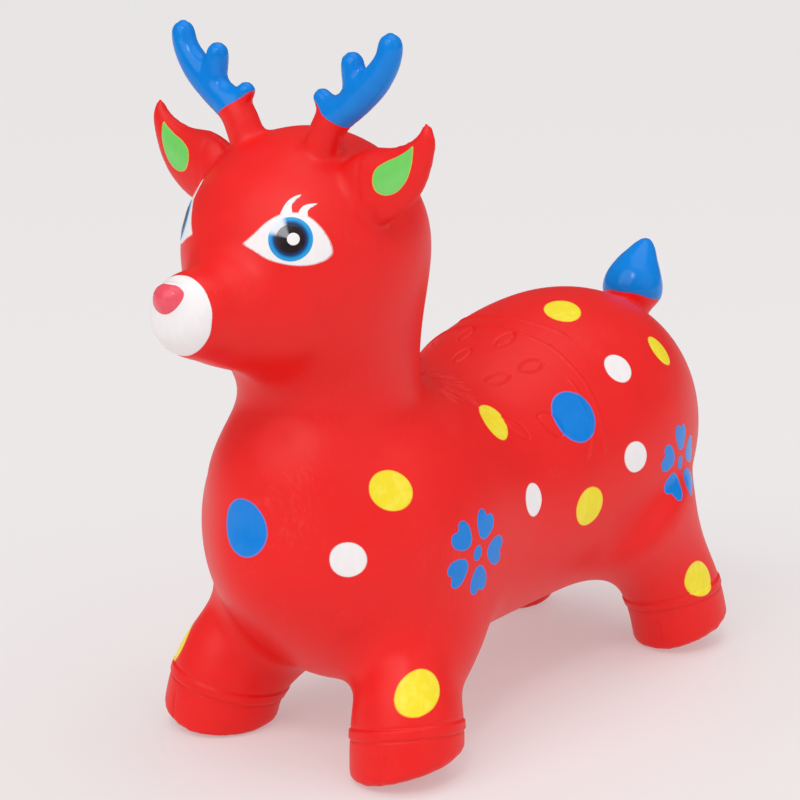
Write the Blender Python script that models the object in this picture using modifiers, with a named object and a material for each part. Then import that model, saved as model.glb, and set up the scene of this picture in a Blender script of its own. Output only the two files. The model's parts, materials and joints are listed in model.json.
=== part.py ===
"""Bouncy ride-on deer: an air-filled soft vinyl hopper with antlers to hold and a belly valve.

The real skin is one rotomoulded bubble of soft vinyl. It is built here as the zones that move against
each other: a torso, four legs, a neck and head, ears, antlers and tail, with the short bands of skin
that bend between them as pieces of their own. The air valve under the belly is a seat and a plug.

Metres, +Z up, the deer looks along -Y, its left side is at +X, and it stands on z = 0.
"""
import math

import bmesh
import bpy
import numpy as np
from mathutils import Matrix, Vector
from mathutils.bvhtree import BVHTree

# Body lobe: breast to rump, along +Y
BREAST_Y = -0.23895         # front end of the body lobe
BODY_LENGTH = 0.552
BODY_WIDTH = 0.220
BODY_DEPTH = 0.240
BODY_AXIS_HEIGHT = 0.162
BREAST_ROUNDING = 0.100     # length over which the breast closes
RUMP_ROUNDING = 0.164       # length over which the rump closes

# Neck and head lobe: up out of the shoulders
NECK_WIDTH = 0.1216
NECK_DEPTH = 0.138
NECK_SINK = 0.007           # narrowest neck below the top of the body lobe's full depth
HEAD_WIDTH = 0.177
HEAD_DEPTH = 0.178
HEAD_RISE = 0.187           # crown above the narrowest neck
HEAD_LEAN = 0.0468          # crown ahead of the narrowest neck
CROWN_ROUNDING = 0.091
NECK_ROUNDING = 0.020

# Muzzle lobe and nose
MUZZLE_WIDTH = 0.140
MUZZLE_DEPTH = 0.121
MUZZLE_REACH = 0.1728       # muzzle tip ahead of the neck
MUZZLE_ROUNDING = 0.038
SNOUT_RADIUS = 0.0305       # round end of the muzzle, before the skin is relaxed
SNOUT_AHEAD = 0.1430        # its middle ahead of the neck
SNOUT_RISE = 0.0745         # its middle above the narrowest neck
NOSE_WIDTH = 0.027
NOSE_HEIGHT = 0.0225
NOSE_DEPTH = 0.020
NOSE_AHEAD = 0.1660         # middle of the nose button ahead of the neck
NOSE_RISE = 0.0885

# Legs: hoof places are given from the point where each leg leaves the body
LEG_WIDTH = 0.084
LEG_DEPTH = 0.090
HOOF_TRACK = 0.184          # between the middles of a pair of hooves
FRONT_HOOF_SET = -0.0220     # hoof behind (+) or ahead (-) of the hip
REAR_HOOF_SET = 0.054
SOLE_CUT = 0.0020           # how far the leg lobes run on below the floor before they are flattened
HOOF_ROUNDING = 0.012
FRONT_SOLE_TILT = (11.0, 8.0)  # degrees that a sole faces outward and backward
REAR_SOLE_TILT = (14.0, 13.0)
SOLE_PRESS = 0.0022         # how far the lowest edge of a sole is pressed flat by the floor
SOLE_REACH = 0.085          # a sole's plane shapes no point farther from it than this
LEG_FILL_ROUNDS = 34        # rounds that fill only the hollows where the legs leave the body
LEG_FILL_TOP = 0.143        # height above which no hollow is filled
LEG_FILL_FADE = 0.030
HIP_ROUNDING = 0.030
TOE_OUT = 24.0              # degrees that the toes turn outward

# Skin
SKIN_WALL = 0.0022
LIMB_WALL = 0.0020          # thinner skin of the antlers and the tail
SKIN_VOXEL = 0.008
SKIN_RELAX_ROUNDS = 12
SKIN_SWELL = 0.0018         # gives back what the relaxing takes
NOSE_VOXEL = 0.0045         # finer, for the nose button that is laid on the relaxed skin
NOSE_RELAX_ROUNDS = 3
NOSE_SWELL = 0.0003
SKIN_TRIANGLE_SHARE = 0.036
SEAM_GAP = 0.0003           # between neighbouring pieces

# Bands of skin that bend
NECK_BAND = 0.022           # height of the neck band
NECK_BAND_LIFT = 0.009      # its lower edge above the narrowest neck
HIP_BAND = 0.015
HIP_BAND_SHARE = 0.600      # height of the hip bands' middle, of the belly's clearance
HIP_BAND_LIFT = 0.0306      # and above that
CUTTER_REACH = 0.200        # how far a cutter runs past what it cuts
NECK_CUTTER_SHARE = 0.66    # how far the neck cutters run past the middle of the neck
LEG_CUTTER_CLEARANCE = 0.014  # how far the hip cutters run past the leg's rings

# Ears
EAR_LENGTH = 0.085
EAR_WIDTH = 0.056
EAR_THICKNESS = 0.029
EAR_ROOT_LENGTH = 0.032     # stretch of the ear that bends, from its buried end
EAR_BURIED = 0.012          # how deep the ear's loft starts inside the head

# Antlers
ANTLER_RISE = 0.086         # tip above the buried end
ANTLER_SPREAD = 0.0625      # tip outboard of the buried end
ANTLER_FOOT_X = 0.0320
ANTLER_FOOT_SINK = 0.0110   # buried end below the crown
ANTLER_FOOT_RADIUS = 0.0138
ANTLER_BEAM_RADIUS = 0.0112
ANTLER_TIP_RADIUS = 0.0086
PRONG_RADIUS = 0.0076
LOW_PRONG_RADIUS = 0.0064
PRONG_ROOT_SHARE = 1.2      # a prong's radius where it leaves the beam, of its own radius
STUMP_HEIGHT = 0.0305       # red foot of the antler, measured from its buried end
STUMP_TILT = 33.0           # degrees, outward lean of the colour border
LIMB_VOXEL = 0.0030
LIMB_RELAX_ROUNDS = 4
LIMB_SWELL = 0.0006
ANTLER_TRIANGLE_SHARE = 0.11
TAIL_TRIANGLE_SHARE = 0.09

# Tail
TAIL_LENGTH = 0.083
TAIL_WIDTH = 0.0490
TAIL_LEAN = 23.0            # degrees, tip behind the root
TAIL_ROOT_SINK = 0.042      # buried end below the top of the rump
TAIL_ROOT_INSET = 0.051     # buried end ahead of the rump's end
TAIL_STUB = 0.033           # red foot of the tail

# Valve under the belly
VALVE_BACK_SHARE = 0.641    # along the body
VALVE_FLANGE_RADIUS = 0.0150
VALVE_FLANGE_THICKNESS = 0.0030
VALVE_TUBE_RADIUS = 0.0070
VALVE_TUBE_LENGTH = 0.0150
VALVE_BORE_RADIUS = 0.0040
PLUG_CLEARANCE = 0.0003
PLUG_HEAD_RADIUS = 0.0085
PLUG_HEAD_THICKNESS = 0.0030
PLUG_STEM_LENGTH = 0.0170
PLUG_TIP_RADIUS = 0.0026
PLUG_TAB_THICKNESS = 0.0022
PLUG_TAB_WIDTH = 0.0090
PLUG_TAB_DROP = 0.0035
TURN_STEPS = 24
PLUG_TAB_SINK = 0.0008      # how far the tab runs up into the head that it is moulded with

# Body rows: place along the body, axis offset as a share of the depth, width share, depth share
BODY_ROW_SHARES = (
    (0.000, -0.029, 0.636, 0.671),
    (0.156, 0.000, 0.973, 0.917),
    (0.440, -0.038, 0.925, 0.883),
    (0.669, 0.059, 1.010, 1.005),
    (1.000, 0.050, 0.873, 0.983),
)
# Neck rows: rise as a share of HEAD_RISE from the narrowest neck, lean share, width share, depth share
NECK_PLACE_SHARE = 0.183    # narrowest neck along the body
NECK_ROW_SHARES = (
    (-0.700, 0.150, 0.760, 0.720),
    (-0.455, 0.200, 0.930, 0.960),
    (0.000, 0.000, 0.687, 0.775),
    (0.503, 0.487, 0.983, 0.991),
    (1.000, 1.000, 1.000, 1.002),
)
# Muzzle rows: reach share, height as a share of HEAD_RISE, width share, depth share
MUZZLE_ROW_SHARES = (
    (0.404, 0.401, 1.000, 1.000),
    (0.734, 0.382, 0.505, 0.575),
    (0.930, 0.400, 0.380, 0.440),
)
# Leg rows: drop share, outward share, set share, width share, depth share
FRONT_HIP_SHARES = (0.1745, 0.382, 0.000)   # along the body, across it, above its axis
REAR_HIP_SHARES = (0.7258, 0.536, -0.066)
FRONT_LEG_ROW_SHARES = (
    (0.000, 0.00, 0.00, 0.976, 1.316),
    (0.300, 0.20, -0.62, 0.780, 1.650),
    (0.519, 0.52, -0.40, 0.860, 1.080),
    (0.738, 0.88, 0.60, 0.960, 0.985),
    (1.000, 1.00, 1.00, 0.955, 0.965),
    (1.130, 1.04, 1.08, 0.955, 0.965),
)
REAR_LEG_ROW_SHARES = (
    (0.000, 0.00, 0.00, 1.507, 2.167),
    (0.449, 0.58, 0.62, 0.930, 1.130),
    (0.743, 0.87, 0.93, 0.930, 0.980),
    (1.000, 1.00, 1.04, 0.930, 0.955),
    (1.140, 1.04, 1.08, 0.930, 0.955),
)
# Ear rows: outward share, upward share of EAR_LENGTH, width share, thickness share
EAR_HEIGHT_SHARE = 0.823    # root height on the head
EAR_PLACE_SHARE = 0.600     # root outboard of the middle, of half the head width
EAR_FORWARD = 0.0438        # ear plane ahead of the narrowest neck
EAR_ROW_SHARES = (
    (0.000, -0.020, 0.760, 1.000),
    (0.300, 0.040, 0.950, 0.860),
    (0.550, 0.150, 0.760, 0.620),
    (0.715, 0.303, 0.470, 0.440),
    (0.805, 0.455, 0.230, 0.300),
    (0.812, 0.580, 0.060, 0.120),
)
# Antler beam and prongs: outward share of the spread, upward share of the rise
ANTLER_FORWARD = 0.0478     # antler plane ahead of the narrowest neck
BEAM_PLACE_SHARES = ((0.000, 0.000), (0.205, 0.290), (0.525, 0.442), (0.795, 0.622), (0.978, 0.815), (1.000, 1.000))
MID_PRONG_PLACE_SHARES = ((0.545, 0.500), (0.480, 0.690), (0.465, 0.836))
LOW_PRONG_PLACE_SHARES = ((0.230, 0.350), (0.060, 0.440), (0.000, 0.524))
# Tail rows: place along the tail, width share
TAIL_ROW_SHARES = (
    (0.000, 0.50),
    (0.220, 0.66),
    (0.400, 0.99),
    (0.540, 0.97),
    (0.700, 0.70),
    (0.850, 0.43),
    (1.000, 0.26),
)

PART_COLLECTION = "bouncy_deer"
CUTTER_COLLECTION = "bouncy_deer_cutters"
RED = (0.80, 0.028, 0.020)
BLUE = (0.010, 0.190, 0.720)

NECK_Y = BREAST_Y + NECK_PLACE_SHARE * BODY_LENGTH
NECK_Z = BODY_AXIS_HEIGHT + BODY_DEPTH / 2 - NECK_SINK
CROWN_Z = NECK_Z + HEAD_RISE
RUMP_Y = BREAST_Y + BODY_LENGTH
BELLY_CLEARANCE = BODY_AXIS_HEIGHT - BODY_DEPTH / 2
HIP_BAND_HEIGHT = BELLY_CLEARANCE * HIP_BAND_SHARE + HIP_BAND_LIFT
X_AXIS = Vector((1, 0, 0))
Y_AXIS = Vector((0, 1, 0))
Z_AXIS = Vector((0, 0, 1))


# Scene helpers
def clear_scene():
    for thing in list(bpy.data.objects):
        bpy.data.objects.remove(thing, do_unlink=True)


def collection(name):
    group = bpy.data.collections.new(name)
    bpy.context.scene.collection.children.link(group)
    return group


def material(name, colour, roughness):
    paint = bpy.data.materials.new(name)
    paint.use_nodes = True
    shader = paint.node_tree.nodes["Principled BSDF"]
    shader.inputs["Base Color"].default_value = (*colour, 1.0)
    shader.inputs["Roughness"].default_value = roughness
    shader.inputs["Metallic"].default_value = 0.0
    paint.diffuse_color = (*colour, 1.0)
    return paint


def add_object(name, mesh, group):
    thing = bpy.data.objects.new(name, mesh)
    group.objects.link(thing)
    return thing


def finished_mesh(thing, name):
    """The mesh of an object with its modifiers applied."""
    bpy.context.view_layer.update()
    graph = bpy.context.evaluated_depsgraph_get()
    mesh = bpy.data.meshes.new_from_object(thing.evaluated_get(graph), depsgraph=graph)
    mesh.name = name
    return mesh


# Lofts
def smooth_rows(rows, places):
    """Values of the rows at the given places along them, on a smooth curve through every row."""
    rows = np.asarray(rows, dtype=float)
    steps = np.linalg.norm(np.diff(rows[:, :3], axis=0), axis=1)
    knots = np.concatenate(([0.0], np.cumsum(steps)))
    slopes = np.gradient(rows, knots, axis=0)
    places = np.asarray(places) * knots[-1]
    index = np.clip(np.searchsorted(knots, places) - 1, 0, len(knots) - 2)
    span = (knots[index + 1] - knots[index])[:, None]
    t = (places[:, None] - knots[index][:, None]) / span
    values = (2 * t**3 - 3 * t**2 + 1) * rows[index] + (t**3 - 2 * t**2 + t) * span * slopes[index]
    values += (3 * t**2 - 2 * t**3) * rows[index + 1] + (t**3 - t**2) * span * slopes[index + 1]
    return values, knots[-1], places


def loft(rows, side, start_rounding=0.0, end_rounding=0.0, stations=22, around=28):
    """A closed loft of oval rings. Each row is x, y, z, half size along side, half size across it."""
    turns = np.linspace(0, math.pi, stations)
    values, length, places = smooth_rows(rows, (1 - np.cos(turns)) / 2)
    swell = np.ones(stations)
    if start_rounding > 0:
        near = places < start_rounding
        swell[near] *= np.sqrt(np.clip(1 - ((start_rounding - places[near]) / start_rounding) ** 2, 0, 1))
    if end_rounding > 0:
        near = places > length - end_rounding
        past = (places[near] - length + end_rounding) / end_rounding
        swell[near] *= np.sqrt(np.clip(1 - past**2, 0, 1))
    middles = values[:, :3]
    along = np.gradient(middles, axis=0)
    along /= np.linalg.norm(along, axis=1)[:, None]
    side = np.asarray(side, dtype=float)
    beside = side - (along @ side)[:, None] * along
    beside /= np.linalg.norm(beside, axis=1)[:, None]
    across = np.cross(along, beside)
    mesh = bmesh.new()
    rings = []
    for i in range(stations):
        if swell[i] < 1e-6:
            rings.append([mesh.verts.new(middles[i])])
            continue
        ring = []
        for k in range(around):
            angle = 2 * math.pi * k / around
            place = middles[i] + beside[i] * values[i, 3] * swell[i] * math.cos(angle)
            place = place + across[i] * values[i, 4] * swell[i] * math.sin(angle)
            ring.append(mesh.verts.new(place))
        rings.append(ring)
    for low, high in zip(rings, rings[1:]):
        for k in range(around):
            after = (k + 1) % around
            if len(low) == 1:
                mesh.faces.new((low[0], high[k], high[after]))
            elif len(high) == 1:
                mesh.faces.new((low[k], high[0], low[after]))
            else:
                mesh.faces.new((low[k], high[k], high[after], low[after]))
    if len(rings[0]) > 1:
        mesh.faces.new(rings[0])
    if len(rings[-1]) > 1:
        mesh.faces.new(rings[-1])
    bmesh.ops.recalc_face_normals(mesh, faces=mesh.faces)
    return mesh


def mirrored(mesh):
    """A copy of a loft on the other side of the middle plane."""
    other = mesh.copy()
    for vert in other.verts:
        vert.co.x = -vert.co.x
    bmesh.ops.reverse_faces(other, faces=other.faces)
    return other


def as_bmesh(mesh):
    copy = bmesh.new()
    copy.from_mesh(mesh)
    return copy


def joined_mesh(name, parts):
    whole = bmesh.new()
    for part in parts:
        piece = bpy.data.meshes.new(name)
        part.to_mesh(piece)
        part.free()
        whole.from_mesh(piece)
        bpy.data.meshes.remove(piece)
    mesh = bpy.data.meshes.new(name)
    whole.to_mesh(mesh)
    whole.free()
    return mesh


# The deer's lobes
def body_rows():
    rows = []
    for along, rise, width, depth in BODY_ROW_SHARES:
        y = BREAST_Y + along * BODY_LENGTH
        z = BODY_AXIS_HEIGHT + rise * BODY_DEPTH
        rows.append((0, y, z, width * BODY_WIDTH / 2, depth * BODY_DEPTH / 2))
    return rows


def neck_rows():
    """Rings up the neck and head. The waist row takes the neck's own sizes."""
    rows = []
    for rise, lean, width, depth in NECK_ROW_SHARES:
        half_width = width * HEAD_WIDTH / 2
        half_depth = depth * HEAD_DEPTH / 2
        if rise == 0:
            half_width = NECK_WIDTH / 2
            half_depth = NECK_DEPTH / 2
        rows.append((0, NECK_Y - lean * HEAD_LEAN, NECK_Z + rise * HEAD_RISE, half_width, half_depth))
    return rows


def muzzle_rows():
    rows = []
    for reach, rise, width, depth in MUZZLE_ROW_SHARES:
        y = NECK_Y - reach * MUZZLE_REACH
        z = NECK_Z + rise * HEAD_RISE
        rows.append((0, y, z, width * MUZZLE_WIDTH / 2, depth * MUZZLE_DEPTH / 2))
    return rows


def hip_place(shares):
    along, out, up = shares
    y = BREAST_Y + along * BODY_LENGTH
    return Vector((out * BODY_WIDTH / 2, y, BODY_AXIS_HEIGHT + up * BODY_DEPTH))


def leg_rows(hip, hoof_set, row_shares):
    rows = []
    for drop, out, back, width, depth in row_shares:
        x = hip.x + out * (HOOF_TRACK / 2 - hip.x)
        y = hip.y + back * hoof_set
        z = hip.z - drop * (hip.z + SOLE_CUT)
        rows.append((x, y, z, width * LEG_WIDTH / 2, depth * LEG_DEPTH / 2))
    return rows


def ball(radii, ahead, rise):
    """An oval ball on the middle line, ahead of the neck and above its narrowest ring."""
    mesh = bmesh.new()
    bmesh.ops.create_uvsphere(mesh, u_segments=24, v_segments=16, radius=1)
    bmesh.ops.scale(mesh, verts=mesh.verts, vec=radii)
    bmesh.ops.translate(mesh, verts=mesh.verts, vec=(0, NECK_Y - ahead, NECK_Z + rise))
    return mesh


def relaxed_skin(name, parts, voxel, rounds, swell):
    """One closed skin over several lofts: remeshed, then relaxed so that the joins fill in."""
    cage = add_object(name + "_cage", joined_mesh(name + "_cage", parts), cutters)
    remesh = cage.modifiers.new("one_skin", "REMESH")
    remesh.mode = "VOXEL"
    remesh.voxel_size = voxel
    relax = cage.modifiers.new("relax", "SMOOTH")
    relax.factor = 0.5
    relax.iterations = rounds
    grow = cage.modifiers.new("swell", "DISPLACE")
    grow.mid_level = 0.0
    grow.strength = swell
    mesh = finished_mesh(cage, name)
    bpy.data.objects.remove(cage, do_unlink=True)
    return mesh


def thinned(mesh, name, triangle_share, symmetric):
    """The skin with fewer triangles, alike on both sides where it should be."""
    cage = add_object(name + "_cage", mesh, cutters)
    thin = cage.modifiers.new("thin_out", "DECIMATE")
    thin.ratio = triangle_share
    if symmetric:
        mirror = cage.modifiers.new("both_sides", "MIRROR")
        mirror.use_axis = (True, False, False)
        mirror.use_bisect_axis = (True, False, False)
        mirror.merge_threshold = 0.0001
    form = finished_mesh(cage, name)
    bpy.data.objects.remove(cage, do_unlink=True)
    return form


def fill_hollows(mesh, rounds, top, fade):
    """Relax only points that lie in a hollow below a height, so that round forms keep their size."""
    points = np.array([vert.co for vert in mesh.vertices])
    starts, ends = np.array([edge.vertices for edge in mesh.edges]).T
    links = np.bincount(starts, minlength=len(points)) + np.bincount(ends, minlength=len(points))
    for _ in range(rounds):
        sums = [
            np.bincount(starts, points[ends, k], len(points)) + np.bincount(ends, points[starts, k], len(points))
            for k in range(3)
        ]
        pull = np.array(sums).T / links[:, None] - points
        outward = np.array([vert.normal for vert in mesh.vertices])
        hollow = (pull * outward).sum(axis=1) > 0
        share = np.clip((top - points[:, 2]) / fade, 0, 1) * hollow
        points += 0.5 * pull * share[:, None]
        mesh.vertices.foreach_set("co", points.ravel())
        mesh.update()


def sole_plane(hip, hoof_set, row_shares, tilt):
    """Middle and downward normal of a tilted sole whose lowest edge is pressed a little into the floor."""
    middle = Vector(next(row[:3] for row, shares in zip(leg_rows(hip, hoof_set, row_shares), row_shares)
                         if shares[0] >= 1))
    normal = Vector((math.tan(math.radians(tilt[0])), math.tan(math.radians(tilt[1])), -1)).normalized()
    slope = math.hypot(normal.x, normal.y)
    middle.z = row_shares[-1][3] * LEG_WIDTH / 2 * slope - SOLE_PRESS
    return middle, normal


def flatten_soles(mesh):
    """Press each hoof up to its tilted sole, and everything below the floor up to the floor."""
    soles = []
    for shares, hoof_set, row_shares, tilt in (
        (FRONT_HIP_SHARES, FRONT_HOOF_SET, FRONT_LEG_ROW_SHARES, FRONT_SOLE_TILT),
        (REAR_HIP_SHARES, REAR_HOOF_SET, REAR_LEG_ROW_SHARES, REAR_SOLE_TILT),
    ):
        middle, normal = sole_plane(hip_place(shares), hoof_set, row_shares, tilt)
        for side in (1, -1):
            soles.append((Vector((middle.x * side, middle.y, middle.z)), Vector((normal.x * side, *normal.yz))))
    for vert in mesh.vertices:
        for middle, normal in soles:
            beyond = (vert.co - middle).dot(normal)
            if beyond > 0 and (vert.co - middle).length < SOLE_REACH:
                vert.co -= normal * beyond
        vert.co.z = max(vert.co.z, 0.0)


def skin_form():
    front = leg_rows(hip_place(FRONT_HIP_SHARES), FRONT_HOOF_SET, FRONT_LEG_ROW_SHARES)
    rear = leg_rows(hip_place(REAR_HIP_SHARES), REAR_HOOF_SET, REAR_LEG_ROW_SHARES)
    turn = math.radians(TOE_OUT)
    across = Vector((math.cos(turn), math.sin(turn), 0))
    front_leg = loft(front, across, HIP_ROUNDING, HOOF_ROUNDING, 18, 24)
    rear_leg = loft(rear, across, HIP_ROUNDING, HOOF_ROUNDING, 18, 24)
    parts = [
        loft(body_rows(), X_AXIS, BREAST_ROUNDING, RUMP_ROUNDING, 30, 32),
        loft(neck_rows(), X_AXIS, NECK_ROUNDING, CROWN_ROUNDING, 26, 30),
        loft(muzzle_rows(), X_AXIS, NECK_ROUNDING, MUZZLE_ROUNDING, 18, 24),
        ball((SNOUT_RADIUS, SNOUT_RADIUS, SNOUT_RADIUS), SNOUT_AHEAD, SNOUT_RISE),
        mirrored(front_leg),
        mirrored(rear_leg),
        front_leg,
        rear_leg,
    ]
    mesh = relaxed_skin("skin", parts, SKIN_VOXEL, SKIN_RELAX_ROUNDS, SKIN_SWELL)
    fill_hollows(mesh, LEG_FILL_ROUNDS, LEG_FILL_TOP, LEG_FILL_FADE)
    nose = ball((NOSE_WIDTH / 2, NOSE_DEPTH / 2, NOSE_HEIGHT / 2), NOSE_AHEAD, NOSE_RISE)
    mesh = relaxed_skin("skin_with_nose", [as_bmesh(mesh), nose], NOSE_VOXEL, NOSE_RELAX_ROUNDS, NOSE_SWELL)
    flatten_soles(mesh)
    form = thinned(mesh, "skin_form", SKIN_TRIANGLE_SHARE, True)
    for vert in form.vertices:
        vert.co.z = max(vert.co.z, 0.0)
    return form


# Walls and cuts
def walled(form, wall, name):
    """The form as a skin with a wall, its outer face where the form's face is."""
    thing = add_object(name, form.copy(), cutters)
    shell = thing.modifiers.new("wall", "SOLIDIFY")
    shell.thickness = wall
    shell.offset = -1
    shell.use_even_offset = True
    mesh = finished_mesh(thing, name)
    bpy.data.objects.remove(thing, do_unlink=True)
    return mesh


def as_cutter(thing):
    thing.hide_render = True
    thing.display_type = "WIRE"
    return thing


def slab(name, middle, normal, below, above, reach, reach_along=None):
    """A box cutter around a plane: it runs below and above the plane along its normal.

    reach is its half size across the body, reach_along its half size along the body.
    """
    mesh = bpy.data.meshes.new(name)
    box = bmesh.new()
    bmesh.ops.create_cube(box, size=1)
    bmesh.ops.scale(box, verts=box.verts, vec=(2 * reach, 2 * (reach_along or reach), below + above))
    bmesh.ops.translate(box, verts=box.verts, vec=(0, 0, (above - below) / 2))
    turn = Z_AXIS.rotation_difference(Vector(normal)).to_matrix().to_4x4()
    bmesh.ops.transform(box, matrix=Matrix.Translation(middle) @ turn, verts=box.verts)
    box.to_mesh(mesh)
    box.free()
    return as_cutter(add_object(name, mesh, cutters))


def grown_block(name, form, growth):
    """A solid cutter with the form's shape, a seam gap larger all round."""
    mesh = form.copy()
    mesh.name = name
    shifts = [vert.normal * growth for vert in mesh.vertices]
    for vert, shift in zip(mesh.vertices, shifts):
        vert.co += shift
    return as_cutter(add_object(name, mesh, cutters))


def cut(thing, cutter, operation="DIFFERENCE"):
    step = thing.modifiers.new(operation.lower(), "BOOLEAN")
    step.operation = operation
    step.object = cutter
    step.solver = "EXACT"
    return thing


def skin_piece(name, shell, cuts, colour=RED, roughness=0.42):
    """A piece of a walled skin: each cut is a cutter and what to do with it."""
    thing = add_object(name, shell.copy(), parts_group)
    thing.data.materials.clear()
    thing.data.materials.append(material(name, colour, roughness))
    for cutter, operation in cuts:
        cut(thing, cutter, operation)
    return thing


def neck_pieces(shell):
    """The neck is parted by two level cuts: torso below, band between, head above."""
    low = NECK_Z + NECK_BAND_LIFT
    high = low + NECK_BAND
    reach = (MUZZLE_REACH + NECK_DEPTH) * NECK_CUTTER_SHARE
    middle = Vector((0, NECK_Y + NECK_DEPTH * NECK_CUTTER_SHARE - reach, low))
    above_low = slab("neck_low_cut", middle, Z_AXIS, 0, CUTTER_REACH * 2, reach)
    above_high = slab("neck_high_cut", middle + Z_AXIS * NECK_BAND, Z_AXIS, 0, CUTTER_REACH * 2, reach)
    band = slab("neck_band_cut", middle, Z_AXIS, -SEAM_GAP, NECK_BAND - SEAM_GAP, reach)
    skin_piece("neck_flex_band", shell, [(band, "INTERSECT")])
    skin_piece("head_skin", shell, [(above_high, "INTERSECT")])
    print("neck band from", round(low, 4), "to", round(high, 4))
    return above_low


def leg_ring(rows, height):
    """Middle and downward direction of a leg where it crosses a height, and how far it spreads below."""
    values, _, _ = smooth_rows(rows, np.linspace(0, 1, 200))
    index = int(np.argmin(np.abs(values[:, 2] - height)))
    step = values[min(index + 1, 199), :3] - values[index - 1, :3]
    below = values[index:]
    half_sizes = below[:, 3:].max(axis=1)
    spread = [np.max(np.abs(below[:, k] - values[index, k]) + half_sizes) for k in (0, 1)]
    return Vector(values[index, :3]), Vector(step).normalized(), spread


def leg_pieces(shell, label, rows, side):
    """One leg: a bending band of skin at the hip and the leg below it."""
    middle, down, spread = leg_ring(rows, HIP_BAND_HEIGHT)
    middle.x *= side
    down = Vector((down.x * side, 0, down.z)).normalized()
    reach = [size + LEG_CUTTER_CLEARANCE for size in spread]
    upper = slab(f"hip_cut_{label}", middle - down * HIP_BAND / 2, down, 0, CUTTER_REACH / 2, *reach)
    lower = slab(f"leg_cut_{label}", middle + down * HIP_BAND / 2, down, 0, CUTTER_REACH / 2, *reach)
    band = slab(f"band_cut_{label}", middle, down, HIP_BAND / 2 - SEAM_GAP, HIP_BAND / 2 - SEAM_GAP, *reach)
    skin_piece(f"hip_flex_band_{label}", shell, [(band, "INTERSECT")])
    skin_piece(f"leg_{label}", shell, [(lower, "INTERSECT")])
    print("hip", label, [round(v, 4) for v in middle])
    return upper


def valve_hole(belly):
    bpy.ops.mesh.primitive_cylinder_add(vertices=32, radius=VALVE_TUBE_RADIUS + SEAM_GAP, depth=CUTTER_REACH / 4)
    hole = bpy.context.object
    hole.name = "valve_hole_cut"
    for group in list(hole.users_collection):
        group.objects.unlink(hole)
    cutters.objects.link(hole)
    hole.location = belly
    return as_cutter(hole)


# Ears, antlers and tail
def ear_rows(side):
    root_x = EAR_PLACE_SHARE * HEAD_WIDTH / 2
    root_z = NECK_Z + EAR_HEIGHT_SHARE * HEAD_RISE
    rows = []
    for out, up, width, thickness in EAR_ROW_SHARES:
        x = side * (root_x + out * EAR_LENGTH)
        z = root_z + up * EAR_LENGTH
        rows.append((x, NECK_Y - EAR_FORWARD, z, thickness * EAR_THICKNESS / 2, width * EAR_WIDTH / 2))
    return rows


def ear_pieces(label, side, head_block):
    """An ear is a flat leaf: the root bends and the leaf turns with it."""
    rows = ear_rows(side)
    mesh = joined_mesh(f"ear_{label}_form", [loft(rows, Y_AXIS, EAR_BURIED, EAR_BURIED / 2, 14, 20)])
    values, _, _ = smooth_rows(rows, np.linspace(0, 1, 100))
    run = np.abs(values[:, 0] - values[0, 0])
    index = int(np.argmin(np.abs(run - EAR_ROOT_LENGTH)))
    middle = Vector(values[index, :3])
    out = Vector(values[index + 1, :3] - values[index - 1, :3]).normalized()
    root_cut = slab(f"ear_root_cut_{label}", middle, out, CUTTER_REACH, 0, EAR_LENGTH)
    leaf_cut = slab(f"ear_leaf_cut_{label}", middle + out * SEAM_GAP, out, 0, CUTTER_REACH, EAR_LENGTH)
    skin_piece(f"ear_root_{label}", mesh, [(root_cut, "INTERSECT"), (head_block, "DIFFERENCE")])
    skin_piece(f"ear_{label}", mesh, [(leaf_cut, "INTERSECT")])
    print("ear hinge", label, [round(v, 4) for v in middle])


def antler_tube(places, radii, rounding):
    """A tube of the left antler, from the antler's buried end at the origin."""
    rows = []
    for (out, up), radius in zip(places, radii):
        rows.append((out * ANTLER_SPREAD, 0, up * ANTLER_RISE, radius, radius))
    return loft(rows, Y_AXIS, 0.0, rounding, 16, 16)


def antler_form():
    """The left antler as one skin over its beam and two prongs."""
    beam_radii = (
        ANTLER_FOOT_RADIUS,
        ANTLER_FOOT_RADIUS,
        ANTLER_BEAM_RADIUS,
        ANTLER_BEAM_RADIUS,
        ANTLER_TIP_RADIUS,
        ANTLER_TIP_RADIUS,
    )
    prong_radii = (PRONG_RADIUS * PRONG_ROOT_SHARE, PRONG_RADIUS, PRONG_RADIUS)
    low_radii = (LOW_PRONG_RADIUS * PRONG_ROOT_SHARE, LOW_PRONG_RADIUS, LOW_PRONG_RADIUS)
    tubes = [
        antler_tube(BEAM_PLACE_SHARES, beam_radii, ANTLER_TIP_RADIUS),
        antler_tube(MID_PRONG_PLACE_SHARES, prong_radii, PRONG_RADIUS),
        antler_tube(LOW_PRONG_PLACE_SHARES, low_radii, LOW_PRONG_RADIUS),
    ]
    skin = relaxed_skin("antler", tubes, LIMB_VOXEL, LIMB_RELAX_ROUNDS, LIMB_SWELL)
    return thinned(skin, "antler_form", ANTLER_TRIANGLE_SHARE, False)


def placed_antler(form, side):
    """The antler moved onto the head, turned over for the right side."""
    copy = as_bmesh(form)
    if side < 0:
        left = copy
        copy = mirrored(left)
        left.free()
    mesh = joined_mesh("antler_on_head", [copy])
    foot = Vector((side * ANTLER_FOOT_X, NECK_Y - ANTLER_FORWARD, CROWN_Z - ANTLER_FOOT_SINK))
    mesh.transform(Matrix.Translation(foot))
    return mesh, foot


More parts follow.
